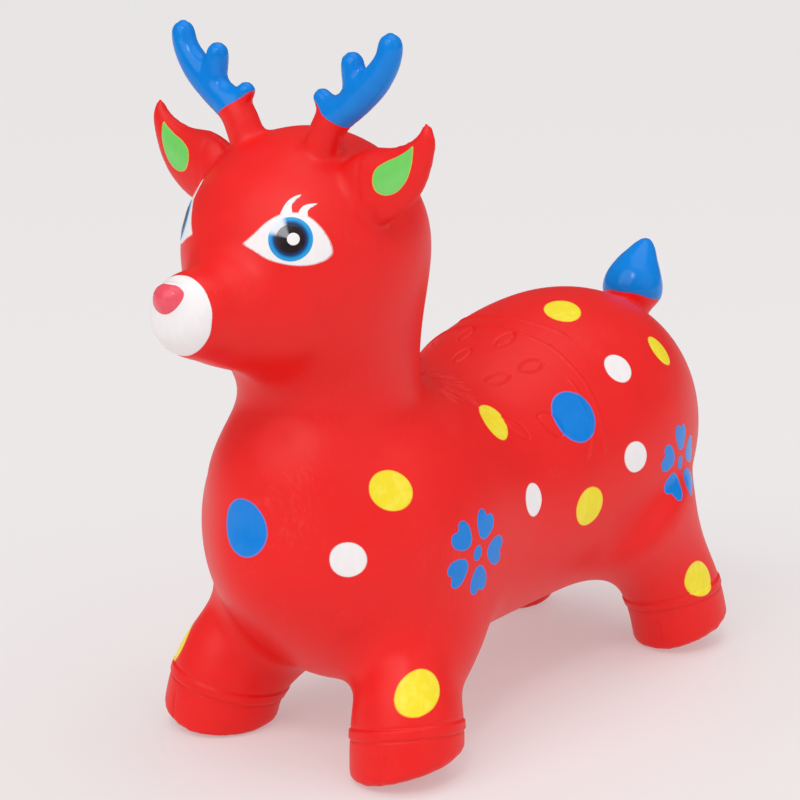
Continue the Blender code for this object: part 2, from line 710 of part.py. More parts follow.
def antler_pieces(label, side, form, head_block):
    """A hollow antler of three tubes: the red foot bends and carries the blue antler."""
    on_head, foot = placed_antler(form, side)
    shell = walled(on_head, LIMB_WALL, f"antler_{label}_skin")
    tilt = math.radians(STUMP_TILT)
    normal = Vector((side * math.sin(tilt), 0, math.cos(tilt)))
    middle = foot + normal * STUMP_HEIGHT
    foot_cut = slab(f"antler_foot_cut_{label}", middle, normal, CUTTER_REACH, 0, ANTLER_RISE)
    tine_cut = slab(f"antler_tine_cut_{label}", middle + normal * SEAM_GAP, normal, 0, CUTTER_REACH, ANTLER_RISE)
    skin_piece(f"antler_foot_{label}", shell, [(foot_cut, "INTERSECT"), (head_block, "DIFFERENCE")])
    skin_piece(f"antler_{label}", shell, [(tine_cut, "INTERSECT")], BLUE)
    print("antler border", label, [round(v, 4) for v in middle])


def tail_pieces(body_block):
    lean = math.radians(TAIL_LEAN)
    up = Vector((0, math.sin(lean), math.cos(lean)))
    _, rump_rise, _, rump_depth = BODY_ROW_SHARES[-1]
    rump_top = BODY_AXIS_HEIGHT + (rump_rise + rump_depth / 2) * BODY_DEPTH
    root = Vector((0, RUMP_Y - TAIL_ROOT_INSET, rump_top - TAIL_ROOT_SINK))
    rows = []
    for along, width in TAIL_ROW_SHARES:
        rows.append((*(up * along * TAIL_LENGTH), width * TAIL_WIDTH / 2, width * TAIL_WIDTH / 2))
    tip_rounding = TAIL_ROW_SHARES[-1][1] * TAIL_WIDTH
    tube = loft(rows, X_AXIS, 0.0, tip_rounding, 22, 24)
    skin = relaxed_skin("tail", [tube], LIMB_VOXEL, LIMB_RELAX_ROUNDS, LIMB_SWELL)
    form = thinned(skin, "tail_form", TAIL_TRIANGLE_SHARE, True)
    form.transform(Matrix.Translation(root))
    shell = walled(form, LIMB_WALL, "tail_skin")
    middle = root + up * TAIL_STUB
    stub_cut = slab("tail_stub_cut", middle, up, CUTTER_REACH, 0, TAIL_LENGTH)
    tip_cut = slab("tail_tip_cut", middle + up * SEAM_GAP, up, 0, CUTTER_REACH, TAIL_LENGTH)
    skin_piece("tail_foot", shell, [(stub_cut, "INTERSECT"), (body_block, "DIFFERENCE")])
    skin_piece("tail_tip", shell, [(tip_cut, "INTERSECT")], BLUE)
    print("tail border", [round(v, 4) for v in middle])


# Valve
def turned(name, profile, place, colour, roughness):
    """A turned piece: a closed outline of radius and height, turned about the valve's axis."""
    mesh = bpy.data.meshes.new(name)
    outline = bmesh.new()
    points = [outline.verts.new((radius, 0, height)) for radius, height in profile]
    for i in range(len(points)):
        after = (i + 1) % len(points)
        if profile[i][0] == 0 and profile[after][0] == 0:
            continue
        outline.edges.new((points[i], points[after]))
    outline.to_mesh(mesh)
    outline.free()
    thing = add_object(name, mesh, parts_group)
    thing.location = place
    screw = thing.modifiers.new("turn", "SCREW")
    screw.axis = "Z"
    screw.steps = TURN_STEPS
    screw.render_steps = TURN_STEPS
    screw.use_merge_vertices = True
    screw.merge_threshold = 0.00001
    screw.use_normal_calculate = True
    screw.use_normal_flip = True
    mesh.materials.append(material(name, colour, roughness))
    return thing


def valve_seat(belly):
    """A soft grommet: a flange under the belly and a tube up through the skin, bored for the plug."""
    under = -VALVE_FLANGE_THICKNESS - SEAM_GAP
    profile = [
        (VALVE_BORE_RADIUS, VALVE_TUBE_LENGTH),
        (VALVE_TUBE_RADIUS, VALVE_TUBE_LENGTH),
        (VALVE_TUBE_RADIUS, -SEAM_GAP),
        (VALVE_FLANGE_RADIUS, -SEAM_GAP),
        (VALVE_FLANGE_RADIUS, under + VALVE_FLANGE_THICKNESS / 3),
        (VALVE_FLANGE_RADIUS - VALVE_FLANGE_THICKNESS / 3, under),
        (VALVE_BORE_RADIUS, under),
    ]
    turned("valve_seat", profile, belly, RED, 0.45)
    return under


def valve_plug(belly, under):
    """The push-in plug: a tapered stem in the bore and a round head with a tab to pull."""
    top = under - PLUG_CLEARANCE
    low = top - PLUG_HEAD_THICKNESS
    stem = VALVE_BORE_RADIUS - PLUG_CLEARANCE
    profile = [
        (0, top + PLUG_STEM_LENGTH),
        (PLUG_TIP_RADIUS, top + PLUG_STEM_LENGTH),
        (stem, top + PLUG_STEM_LENGTH * 2 / 3),
        (stem, top),
        (PLUG_HEAD_RADIUS, top),
        (PLUG_HEAD_RADIUS, low + PLUG_HEAD_THICKNESS / 3),
        (PLUG_HEAD_RADIUS - PLUG_HEAD_THICKNESS / 3, low),
        (0, low),
    ]
    plug = turned("valve_plug", profile, belly, RED, 0.45)
    tab_height = PLUG_TAB_DROP + PLUG_TAB_SINK
    bpy.ops.mesh.primitive_cube_add(size=1, location=belly + Z_AXIS * (low + PLUG_TAB_SINK - tab_height / 2))
    tab = bpy.context.object
    tab.name = "plug_tab_shape"
    tab.scale = (PLUG_TAB_WIDTH, PLUG_TAB_THICKNESS, tab_height)
    for group in list(tab.users_collection):
        group.objects.unlink(tab)
    cutters.objects.link(tab)
    cut(plug, as_cutter(tab), "UNION")


def belly_point(form):
    """Where the valve sits: on the middle line, level with the lowest skin over its flange."""
    tree = BVHTree.FromPolygons([v.co for v in form.vertices], [p.vertices for p in form.polygons])
    y = BREAST_Y + VALVE_BACK_SHARE * BODY_LENGTH
    lowest = tree.ray_cast(Vector((0, y, 0)), Z_AXIS)[0].z
    for k in range(TURN_STEPS):
        angle = 2 * math.pi * k / TURN_STEPS
        rim = VALVE_FLANGE_RADIUS * Vector((math.cos(angle), math.sin(angle), 0))
        lowest = min(lowest, tree.ray_cast(Vector((0, y, 0)) + rim, Z_AXIS)[0].z)
    return Vector((0, y, lowest))


def build():
    form = skin_form()
    shell = walled(form, SKIN_WALL, "skin_shell")
    block = grown_block("skin_block", form, SEAM_GAP)
    belly = belly_point(form)
    torso_cuts = [(neck_pieces(shell), "DIFFERENCE")]
    legs = (("front", FRONT_HIP_SHARES, FRONT_HOOF_SET, FRONT_LEG_ROW_SHARES),
            ("rear", REAR_HIP_SHARES, REAR_HOOF_SET, REAR_LEG_ROW_SHARES))
    for end, hip_shares, hoof_set, row_shares in legs:
        rows = leg_rows(hip_place(hip_shares), hoof_set, row_shares)
        for label, side in (("left", 1), ("right", -1)):
            torso_cuts.append((leg_pieces(shell, f"{end}_{label}", rows, side), "DIFFERENCE"))
    torso_cuts.append((valve_hole(belly), "DIFFERENCE"))
    skin_piece("torso_skin", shell, torso_cuts)
    antler = antler_form()
    for label, side in (("left", 1), ("right", -1)):
        ear_pieces(label, side, block)
        antler_pieces(label, side, antler, block)
    tail_pieces(block)
    valve_plug(belly, valve_seat(belly))
    print("belly", [round(v, 4) for v in belly])


clear_scene()
parts_group = collection(PART_COLLECTION)
cutters = collection(CUTTER_COLLECTION)
build()
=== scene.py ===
# %% [markdown]
# # An inflatable deer to bounce on
# The real toy is one bubble of soft red vinyl, cast in a mould, blown up through a valve under the
# belly, and then painted by spraying through masks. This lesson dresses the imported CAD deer: a finer
# skin over the same lobes, the relief of the mould, thin films of paint, and satin vinyl materials.

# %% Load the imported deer
import json
import math

import bmesh
import bpy
import numpy as np
from mathutils import Matrix, Vector
from mathutils.bvhtree import BVHTree
from mathutils.kdtree import KDTree

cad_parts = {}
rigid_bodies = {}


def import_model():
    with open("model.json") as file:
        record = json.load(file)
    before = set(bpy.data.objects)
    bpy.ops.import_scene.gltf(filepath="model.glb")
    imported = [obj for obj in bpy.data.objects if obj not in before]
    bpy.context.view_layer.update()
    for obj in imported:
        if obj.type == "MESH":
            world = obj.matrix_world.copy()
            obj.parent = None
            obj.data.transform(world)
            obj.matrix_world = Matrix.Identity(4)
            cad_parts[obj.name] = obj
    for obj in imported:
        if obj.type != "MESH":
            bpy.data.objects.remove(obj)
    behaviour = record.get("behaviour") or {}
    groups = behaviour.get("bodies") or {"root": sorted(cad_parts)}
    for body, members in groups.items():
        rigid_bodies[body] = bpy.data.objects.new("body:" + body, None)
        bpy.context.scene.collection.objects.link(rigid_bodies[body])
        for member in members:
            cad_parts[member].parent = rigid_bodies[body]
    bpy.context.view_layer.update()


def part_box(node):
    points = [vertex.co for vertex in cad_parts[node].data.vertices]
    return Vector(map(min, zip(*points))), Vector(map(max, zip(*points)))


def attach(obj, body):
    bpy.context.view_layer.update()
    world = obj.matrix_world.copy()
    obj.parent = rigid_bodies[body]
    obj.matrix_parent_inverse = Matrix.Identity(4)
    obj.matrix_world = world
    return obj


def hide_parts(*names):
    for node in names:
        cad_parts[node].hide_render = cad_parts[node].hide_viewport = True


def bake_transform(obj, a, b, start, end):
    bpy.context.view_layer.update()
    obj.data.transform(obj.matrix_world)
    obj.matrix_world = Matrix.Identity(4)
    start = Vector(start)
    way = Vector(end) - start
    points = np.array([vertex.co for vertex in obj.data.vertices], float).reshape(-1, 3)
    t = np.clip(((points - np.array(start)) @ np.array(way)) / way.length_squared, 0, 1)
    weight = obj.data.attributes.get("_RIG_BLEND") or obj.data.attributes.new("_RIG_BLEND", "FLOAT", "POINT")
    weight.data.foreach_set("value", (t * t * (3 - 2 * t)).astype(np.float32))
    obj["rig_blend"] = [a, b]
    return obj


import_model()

# %% [markdown]
# ## Camera, floor and light
# A long lens looks slightly down at the deer's left front. The floor is one pale sheet, lit from below as
# a light table is, so that the shadow between the legs stays soft. A wide window of light from the front
# left models the forms, one overhead gives the pale veil on the back, and a small bright panel gives the
# gleams on antlers, nose and ears. The pale room fills in the rest, and is dimmer in reflections, as a
# room with few bright walls is.

# %% Camera
X_AXIS = Vector((1, 0, 0))
Y_AXIS = Vector((0, 1, 0))
Z_AXIS = Vector((0, 0, 1))
LOOK_AT = Vector((0, -0.05495, 0.247))
CAMERA_DISTANCE = 1.776
CAMERA_TURN = math.radians(38.023)
CAMERA_HEIGHT = math.radians(13.5)
LENS = 104.98


def around(turn, height, distance):
    """A point seen from the deer's middle at a turn from straight ahead and a height angle."""
    level = Vector((math.sin(turn), -math.cos(turn), 0)) * math.cos(height)
    return LOOK_AT + (level + Z_AXIS * math.sin(height)) * distance


def aim(thing):
    thing.rotation_euler = (LOOK_AT - thing.location).to_track_quat("-Z", "Y").to_euler()


camera = bpy.data.objects.new("camera", bpy.data.cameras.new("camera"))
bpy.context.scene.collection.objects.link(camera)
camera.data.lens = LENS
camera.data.clip_end = 100
camera.location = around(CAMERA_TURN, CAMERA_HEIGHT, CAMERA_DISTANCE)
aim(camera)
bpy.context.scene.camera = camera

# %% Floor
FLOOR_RADIUS = 30.0


def new_object(name, mesh):
    thing = bpy.data.objects.new(name, mesh)
    bpy.context.scene.collection.objects.link(thing)
    return thing


def mesh_from(name, points, faces, edges=()):
    mesh = bpy.data.meshes.new(name)
    mesh.from_pydata([tuple(p) for p in points], list(edges), [tuple(f) for f in faces])
    return mesh


def ring(count, radius):
    return [Vector((math.cos(t), math.sin(t), 0)) * radius for t in np.linspace(0, 2 * math.pi, count, False)]


floor = new_object("floor", mesh_from("floor", ring(64, FLOOR_RADIUS), [range(64)]))
floor_paint = bpy.data.materials.new("floor_paint")
floor_paint.use_nodes = True
floor_shader = floor_paint.node_tree.nodes["Principled BSDF"]
for socket, value in {
    "Base Color": (0.50, 0.485, 0.485, 1), "Roughness": 0.55, "Specular IOR Level": 0.25,
    "Emission Color": (1.0, 0.965, 0.968, 1), "Emission Strength": 0.33,
}.items():
    floor_shader.inputs[socket].default_value = value
floor.data.materials.append(floor_paint)

# %% Light
LIGHTS = (
    # name, turn, height, width of the light in degrees, strength, colour
    ("front_window", -4, 42, 50, 0.82, (1.0, 0.99, 0.98)),
    ("side_window", 92, 32, 60, 0.31, (0.98, 0.99, 1.0)),
    ("overhead_window", 150, 78, 50, 0.54, (1.0, 1.0, 1.0)),
    ("bright_panel", 30, 52, 10, 0.36, (1.0, 1.0, 1.0)),
)

for name, turn, height, width, strength, colour in LIGHTS:
    lamp = bpy.data.lights.new(name, "SUN")
    lamp.angle = math.radians(width)
    lamp.energy = strength
    lamp.color = colour
    thing = new_object(name, lamp)
    thing.location = around(math.radians(turn), math.radians(height), 3.0)
    aim(thing)

ROOM_STRENGTH, ROOM_IN_REFLECTIONS = 0.63, 0.10
room = bpy.data.worlds.new("room")
room.use_nodes = True
room_tree = room.node_tree
background = room_tree.nodes["Background"]
background.inputs["Color"].default_value = (1.0, 0.985, 0.99, 1)
ray_kind = room_tree.nodes.new("ShaderNodeLightPath")
dimmer = room_tree.nodes.new("ShaderNodeMapRange")
dimmer.inputs["To Min"].default_value = ROOM_STRENGTH
dimmer.inputs["To Max"].default_value = ROOM_IN_REFLECTIONS
room_tree.links.new(ray_kind.outputs["Is Glossy Ray"], dimmer.inputs["Value"])
room_tree.links.new(dimmer.outputs["Result"], background.inputs["Strength"])
bpy.context.scene.world = room
bpy.context.scene.view_settings.view_transform = "Standard"
print("lights:", len(LIGHTS))

# %% [markdown]
# ## The vinyl and its paints
# Everything is the same satin vinyl, moulded red, so one shader group gives its grain, its uneven tone,
# its rubbed places and its dust to every material. Patterns read the place that each point has at rest,
# kept in an attribute, so that they stay on the skin where it bends. A second group makes a sprayed
# paint of it: streaks, and a thin edge where the red shows through.


# %% Node helpers
def wire(tree, value, node, socket):
    """Link a socket to a node, or to a pair of a node and its output, or else set it to the value."""
    source = value if isinstance(value, tuple) else (value, 0)
    target = node.inputs[socket]
    if isinstance(source[0], bpy.types.Node):
        tree.links.new(source[0].outputs[source[1]], target)
    else:
        target.default_value = (*value, 1.0) if target.type == "RGBA" else value


def add_node(tree, kind, inputs=(), **settings):
    """A node with its settings, and its sockets wired as the inputs say."""
    made = tree.nodes.new(kind)
    for key, value in settings.items():
        setattr(made, key, value)
    for socket, value in dict(inputs).items():
        wire(tree, value, made, socket)
    return made


def lay_out(tree):
    """Put each node one column to the right of the nodes that feed it."""
    column = {node.name: 0 for node in tree.nodes}
    for _ in tree.nodes:
        for link in tree.links:
            column[link.to_node.name] = max(column[link.to_node.name], column[link.from_node.name] + 1)
    rows = {}
    for node in tree.nodes:
        place = column[node.name]
        rows[place] = rows.get(place, -1) + 1
        node.location = (place * 220, rows[place] * -260)


def node_group(name, kind, inputs, outputs):
    """A new group and its two end nodes. A socket is a label and a kind, an input also a first value."""
    tree = bpy.data.node_groups.new(name, kind)
    for label, socket_kind, first_value in inputs:
        socket = tree.interface.new_socket(label, in_out="INPUT", socket_type=f"NodeSocket{socket_kind}")
        if first_value is not None:
            socket.default_value = first_value
    for label, socket_kind in outputs:
        tree.interface.new_socket(label, in_out="OUTPUT", socket_type=f"NodeSocket{socket_kind}")
    return tree, tree.nodes.new("NodeGroupInput"), tree.nodes.new("NodeGroupOutput")


def maths(tree, operation, first, second, clamp=False):
    return add_node(tree, "ShaderNodeMath", {0: first, 1: second}, operation=operation, use_clamp=clamp)


def stepped(tree, value, low, high, to_low=0.0, to_high=1.0):
    """A smooth step of a value from one number to another."""
    inputs = {"Value": value, "From Min": low, "From Max": high, "To Min": to_low, "To Max": to_high}
    return add_node(tree, "ShaderNodeMapRange", inputs, interpolation_type="SMOOTHSTEP")


def noise(tree, vector, scale, detail=2.0, roughness=0.5):
    inputs = {"Vector": vector, "Scale": scale, "Detail": detail, "Roughness": roughness}
    return add_node(tree, "ShaderNodeTexNoise", inputs)


def mixed(tree, factor, first, second):
    """A mix of two colours, as a pair that can be wired on."""
    return add_node(tree, "ShaderNodeMix", {0: factor, 6: first, 7: second}, data_type="RGBA"), 2


# %% Shader group: the surface of soft moulded vinyl
RUB_SHARE, RUB_TONE = 0.06, (0.92, 0.42, 0.38)
DUST_TONE = (0.90, 0.74, 0.70)
PEBBLE_HEIGHT, PORE_HEIGHT, RUB_HEIGHT = 0.050, 0.016, 0.030     # millimetres

vinyl_group, enter, leave = node_group("soft_vinyl_surface", "ShaderNodeTree", (
    ("Place", "Vector", None), ("Tone", "Color", (0.8, 0.03, 0.02, 1)), ("Unevenness", "Float", 0.08),
    ("Rubbing", "Float", 0.5), ("Dust", "Float", 0.3), ("Satin", "Float", 0.42), ("Grain", "Float", 1.0),
), (("Color", "Color"), ("Roughness", "Float"), ("Height", "Float")))
place_of = (enter, "Place")
clouds = noise(vinyl_group, place_of, 8.0, 3.0)
blotches = noise(vinyl_group, place_of, 52.0, 4.0, 0.6)
tone_swing = maths(vinyl_group, "SUBTRACT", maths(vinyl_group, "ADD", clouds, blotches), 1.0)
tone_scaled = maths(vinyl_group, "MULTIPLY", tone_swing, (enter, "Unevenness"))
tone_value = maths(vinyl_group, "ADD", tone_scaled, 1.0)
toned = add_node(vinyl_group, "ShaderNodeHueSaturation", {"Color": (enter, "Tone"), "Value": tone_value})

brushed_place = add_node(vinyl_group, "ShaderNodeMapping", {
    "Vector": place_of, "Rotation": (0.4, 0.2, 0.9), "Scale": (1.0, 5.5, 1.4),
})
rub_lines = noise(vinyl_group, brushed_place, 95.0, 5.0, 0.7)
rub_where = noise(vinyl_group, place_of, 14.0, 2.0)
rub_mask = stepped(vinyl_group, maths(vinyl_group, "MULTIPLY", rub_lines, rub_where), 0.31, 0.46)
rubbed = maths(vinyl_group, "MULTIPLY", rub_mask, (enter, "Rubbing"))
rub_colour = mixed(vinyl_group, maths(vinyl_group, "MULTIPLY", rubbed, RUB_SHARE), toned, RUB_TONE)

dust_mask = stepped(vinyl_group, noise(vinyl_group, place_of, 620.0, 2.0, 0.55), 0.71, 0.80)
dust_where = stepped(vinyl_group, clouds, 0.42, 0.62)
dust_here = maths(vinyl_group, "MULTIPLY", dust_mask, dust_where)
dusty = maths(vinyl_group, "MULTIPLY", dust_here, (enter, "Dust"))
wire(vinyl_group, mixed(vinyl_group, dusty, rub_colour, DUST_TONE), leave, "Color")

rough_rub = maths(vinyl_group, "MULTIPLY", rubbed, 0.14)
rough_cloud = maths(vinyl_group, "MULTIPLY", tone_swing, 0.10)
rough_sum = maths(vinyl_group, "ADD", rough_rub, rough_cloud)
wire(vinyl_group, maths(vinyl_group, "ADD", rough_sum, (enter, "Satin"), True), leave, "Roughness")

pebble_height = maths(vinyl_group, "MULTIPLY", noise(vinyl_group, place_of, 310.0, 2.0), PEBBLE_HEIGHT)
pore_height = maths(vinyl_group, "MULTIPLY", noise(vinyl_group, place_of, 1250.0, 1.0), PORE_HEIGHT)
rub_height = maths(vinyl_group, "MULTIPLY", rub_lines, RUB_HEIGHT)
grain = maths(vinyl_group, "ADD", maths(vinyl_group, "ADD", pebble_height, pore_height), rub_height)
wire(vinyl_group, maths(vinyl_group, "MULTIPLY", grain, (enter, "Grain")), leave, "Height")
lay_out(vinyl_group)

# %% Shader group: paint sprayed through a mask
RIPPLE_HEIGHT = 0.03        # millimetres

spray_group, enter, leave = node_group("sprayed_film", "ShaderNodeTree", (
    ("Place", "Vector", None), ("From Edge", "Float", 1.0), ("Paint", "Color", None),
    ("Streak Paint", "Color", None), ("Edge Paint", "Color", None), ("Streaks", "Float", 0.3),
), (("Color", "Color"), ("Height", "Float")))
streak_place = add_node(spray_group, "ShaderNodeMapping", {
    "Vector": (enter, "Place"), "Rotation": (0.3, 0.5, 0.2), "Scale": (2.2, 1.6, 0.8),
})
streaks = noise(spray_group, streak_place, 95.0, 3.0, 0.55)
streak_mask = stepped(spray_group, streaks, 0.42, 0.68)
streak_share = maths(spray_group, "MULTIPLY", streak_mask, (enter, "Streaks"))
streaked = mixed(spray_group, streak_share, (enter, "Paint"), (enter, "Streak Paint"))
edge_shift = maths(spray_group, "MULTIPLY_ADD", noise(spray_group, (enter, "Place"), 700.0, 2.0), 0.5)
wire(spray_group, -0.25, edge_shift, 2)
edge_value = maths(spray_group, "ADD", (enter, "From Edge"), edge_shift)
edge_mask = stepped(spray_group, edge_value, 0.45, 0.85, 1.0, 0.0)
wire(spray_group, mixed(spray_group, edge_mask, streaked, (enter, "Edge Paint")), leave, "Color")
wire(spray_group, maths(spray_group, "MULTIPLY", streaks, RIPPLE_HEIGHT), leave, "Height")
lay_out(spray_group)

# %% Materials
BUMP_DISTANCE = 0.001       # the groups give their heights in millimetres
MOULDED_RED = (0.850, 0.0080, 0.0060)


def begin_material(name, tone):
    made = bpy.data.materials.new(name)
    made.use_nodes = True
    made.diffuse_color = (*tone, 1.0)
    tree = made.node_tree
    place = add_node(tree, "ShaderNodeAttribute", attribute_name="rest_place")
    return made, tree, tree.nodes["Principled BSDF"], place


def finish_material(tree, shader, surface, height, gloss):
    bump = add_node(tree, "ShaderNodeBump", {"Strength": 1.0, "Distance": BUMP_DISTANCE, "Height": height})
    for socket, value in (("Base Color", (surface, "Color")), ("Roughness", (surface, "Roughness")),
                          ("Normal", bump), ("Specular IOR Level", gloss)):
        wire(tree, value, shader, socket)
    lay_out(tree)


def vinyl_surface(tree, place, tone, unevenness, rubbing, dust, satin, grain):
    """The vinyl group. Its tone is a colour, or the pair of a node and its output."""
    return add_node(tree, "ShaderNodeGroup", {
        "Place": (place, "Vector"), "Tone": tone, "Unevenness": unevenness, "Rubbing": rubbing, "Dust": dust,
        "Satin": satin, "Grain": grain,
    }, node_tree=vinyl_group)


def moulded_vinyl(name, tone=MOULDED_RED, satin=0.42, rubbing=0.6, grain=1.0):
    """The bare vinyl, as it comes out of the mould."""
    made, tree, shader, place = begin_material(name, tone)
    surface = vinyl_surface(tree, place, tone, 0.10, rubbing, 0.12, satin, grain)
    finish_material(tree, shader, surface, (surface, "Height"), 0.35)
    return made


def sprayed_paint(name, tone, streak_tone, edge_tone, streaks, satin=0.36, gloss=0.30):
    """Paint on the vinyl, thinner at its edge."""
    made, tree, shader, place = begin_material(name, tone)
    edge = add_node(tree, "ShaderNodeAttribute", attribute_name="from_edge")
    film = add_node(tree, "ShaderNodeGroup", {
        "Place": (place, "Vector"), "From Edge": (edge, "Fac"), "Paint": tone, "Streak Paint": streak_tone,
        "Edge Paint": edge_tone, "Streaks": streaks,
    }, node_tree=spray_group)
    surface = vinyl_surface(tree, place, (film, "Color"), 0.05, 0.10, 0.0, satin, 0.15)
    finish_material(tree, shader, surface, maths(tree, "ADD", (film, "Height"), (surface, "Height")), gloss)
    return made


red_vinyl = moulded_vinyl("red_vinyl")
valve_vinyl = moulded_vinyl("valve_vinyl", (0.74, 0.030, 0.022), 0.36, 0.3, 0.6)
# Paint, its streaks, its thin edge over the red, share of streaks, satin, gloss
blue_paint = sprayed_paint(
    "blue_paint", (0.0003, 0.215, 0.720), (0.002, 0.27, 0.78), (0.30, 0.16, 0.58), 0.25, 0.20, 0.30)
yellow_paint = sprayed_paint(
    "yellow_paint", (0.90, 0.745, 0.018), (0.95, 0.86, 0.10), (0.92, 0.34, 0.03), 0.5)
white_paint = sprayed_paint(
    "white_paint", (0.885, 0.850, 0.850), (0.94, 0.91, 0.91), (0.76, 0.30, 0.30), 0.4)
green_paint = sprayed_paint(
    "green_paint", (0.170, 0.660, 0.130), (0.24, 0.71, 0.15), (0.70, 0.52, 0.06), 0.25, 0.22, 0.5)
pink_paint = sprayed_paint(
    "pink_paint", (0.84, 0.075, 0.115), (0.88, 0.14, 0.18), (0.84, 0.30, 0.32), 0.3, 0.24, 0.5)
# Painted highlight on the eyes: a pale wedge across iris and pupil, lying this way on the eye's own plane
PAINTED_HIGHLIGHT_WAY = (-0.72, 0.69, 0.0)      # on the eye's own plane, outward and up


def eye_film(made, inner, inner_from, inner_to, highlight_tone, highlight_share):
    """The paint turns to an inner tone towards the middle, with a painted highlight: a pale wedge across one
    side.
    """
    tree = made.node_tree
    film, surface = (next(node for node in tree.nodes if node.type == "GROUP" and node.node_tree == group)
                     for group in (spray_group, vinyl_group))
    flat = (add_node(tree, "ShaderNodeAttribute", attribute_name="mask_place"), "Vector")
    from_middle = add_node(tree, "ShaderNodeVectorMath", {0: flat}, operation="LENGTH")
    depth = stepped(tree, (from_middle, "Value"), inner_from, inner_to, 1.0, 0.0)
    deeper = mixed(tree, depth, (film, "Color"), inner)
    toward = add_node(tree, "ShaderNodeVectorMath", {0: flat}, operation="NORMALIZE")
    beside = add_node(tree, "ShaderNodeVectorMath", {0: toward, 1: PAINTED_HIGHLIGHT_WAY}, operation="DOT_PRODUCT")
    # Painted highlight: the side of the eye towards this way turns pale
    painted_highlight = stepped(tree, (beside, "Value"), 0.80, 0.97, 0.0, highlight_share)
    wire(tree, mixed(tree, painted_highlight, deeper, highlight_tone), surface, "Tone")
    lay_out(tree)
    return made


# Inner tone and the radii where it starts and ends, then the tone and share of the painted highlight
iris_paint = eye_film(
    sprayed_paint("iris_paint", (0.010, 0.330, 0.760), (0.03, 0.42, 0.86), (0.30, 0.50, 0.80), 0.3),
    (0.004, 0.035, 0.16), 0.66, 0.86, (0.86, 0.90, 0.94), 0.9)
black_paint = eye_film(
    sprayed_paint("black_paint", (0.020, 0.011, 0.013), (0.05, 0.03, 0.03), (0.02, 0.03, 0.06), 0.4, 0.30),
    (0.012, 0.008, 0.010), 0.3, 0.9, (0.42, 0.42, 0.45), 0.7)
print("materials:", len(bpy.data.materials))

# %% [markdown]
# ## Lobes of the skin
# The mould is a set of blown lobes: body, neck and head, muzzle and four legs. Each is lofted through
# oval rings on a smooth curve. Most rings are the CAD's, so the finer skin lies where the solids are. Only
# the middle of the belly, the tops of the front legs, the points of the ears and the tail differ from
# them a little. Lofting keeps every lobe's shape in a short table.

# %% Sizes of the lobes
BREAST_Y = -0.23895
BODY_LENGTH = 0.552
BODY_WIDTH = 0.220
BODY_DEPTH = 0.240
BODY_AXIS_HEIGHT = 0.162
NECK_Y = BREAST_Y + 0.183 * BODY_LENGTH
NECK_Z = BODY_AXIS_HEIGHT + BODY_DEPTH / 2 - 0.007
HEAD_WIDTH = 0.177
HEAD_DEPTH = 0.178
HEAD_RISE = 0.187
HEAD_LEAN = 0.0468
MUZZLE_WIDTH = 0.140
MUZZLE_DEPTH = 0.121
MUZZLE_REACH = 0.1728
LEG_WIDTH = 0.084
LEG_DEPTH = 0.090
HOOF_TRACK = 0.184
SOLE_CUT = 0.002
TOE_OUT = math.radians(24)
FRONT_HOOF_BACK = -0.022
REAR_HOOF_BACK = 0.054

# Body: place along, axis rise, width, depth as shares
BODY_RINGS = (
    (0.000, -0.029, 0.636, 0.671),
    (0.156, 0.000, 0.973, 0.917),
    (0.440, -0.0215, 0.925, 0.850),
    (0.669, 0.059, 1.010, 1.005),
    (1.000, 0.050, 0.873, 0.983),
)
# Neck and head: rise, lean as shares, half width and half depth in metres
NECK_RINGS = (
    (-0.700, 0.150, 0.760 * HEAD_WIDTH / 2, 0.720 * HEAD_DEPTH / 2),
    (-0.455, 0.200, 0.930 * HEAD_WIDTH / 2, 0.960 * HEAD_DEPTH / 2),
    (0.000, 0.000, 0.0608, 0.0690),
    (0.503, 0.487, 0.983 * HEAD_WIDTH / 2, 0.991 * HEAD_DEPTH / 2),
    (1.000, 1.000, 1.000 * HEAD_WIDTH / 2, 1.002 * HEAD_DEPTH / 2),
)
# Muzzle: reach, height, width, depth as shares
MUZZLE_RINGS = (
    (0.404, 0.401, 1.000, 1.000),
    (0.734, 0.382, 0.505, 0.575),
    (0.930, 0.400, 0.380, 0.440),
)
# Legs: hip place, how far back the hoof stands, and rings of drop, outward, back, width, depth as shares
FRONT_HIP = Vector((0.382 * BODY_WIDTH / 2, BREAST_Y + 0.1745 * BODY_LENGTH, BODY_AXIS_HEIGHT))
REAR_HIP = Vector((
    0.536 * BODY_WIDTH / 2, BREAST_Y + 0.7258 * BODY_LENGTH, BODY_AXIS_HEIGHT - 0.066 * BODY_DEPTH))
FRONT_LEG_RINGS = (
    (0.000, 0.00, 0.00, 0.976, 1.316),
    (0.300, 0.40, -1.90, 1.100, 1.550),
    (0.450, 0.50, -1.20, 1.000, 1.250),
    (0.600, 0.66, -0.10, 0.865, 1.040),
    (0.738, 0.88, 0.60, 0.950, 0.965),
    (1.000, 1.00, 1.00, 0.955, 0.965),
    (1.130, 1.04, 1.08, 0.955, 0.965),
)
REAR_LEG_RINGS = (
    (0.000, 0.00, 0.00, 1.507, 2.167),
    (0.449, 0.58, 0.62, 0.930, 1.130),
    (0.743, 0.87, 0.93, 0.930, 0.980),
    (1.000, 1.00, 1.04, 0.930, 0.955),
    (1.140, 1.04, 1.08, 0.930, 0.955),
)


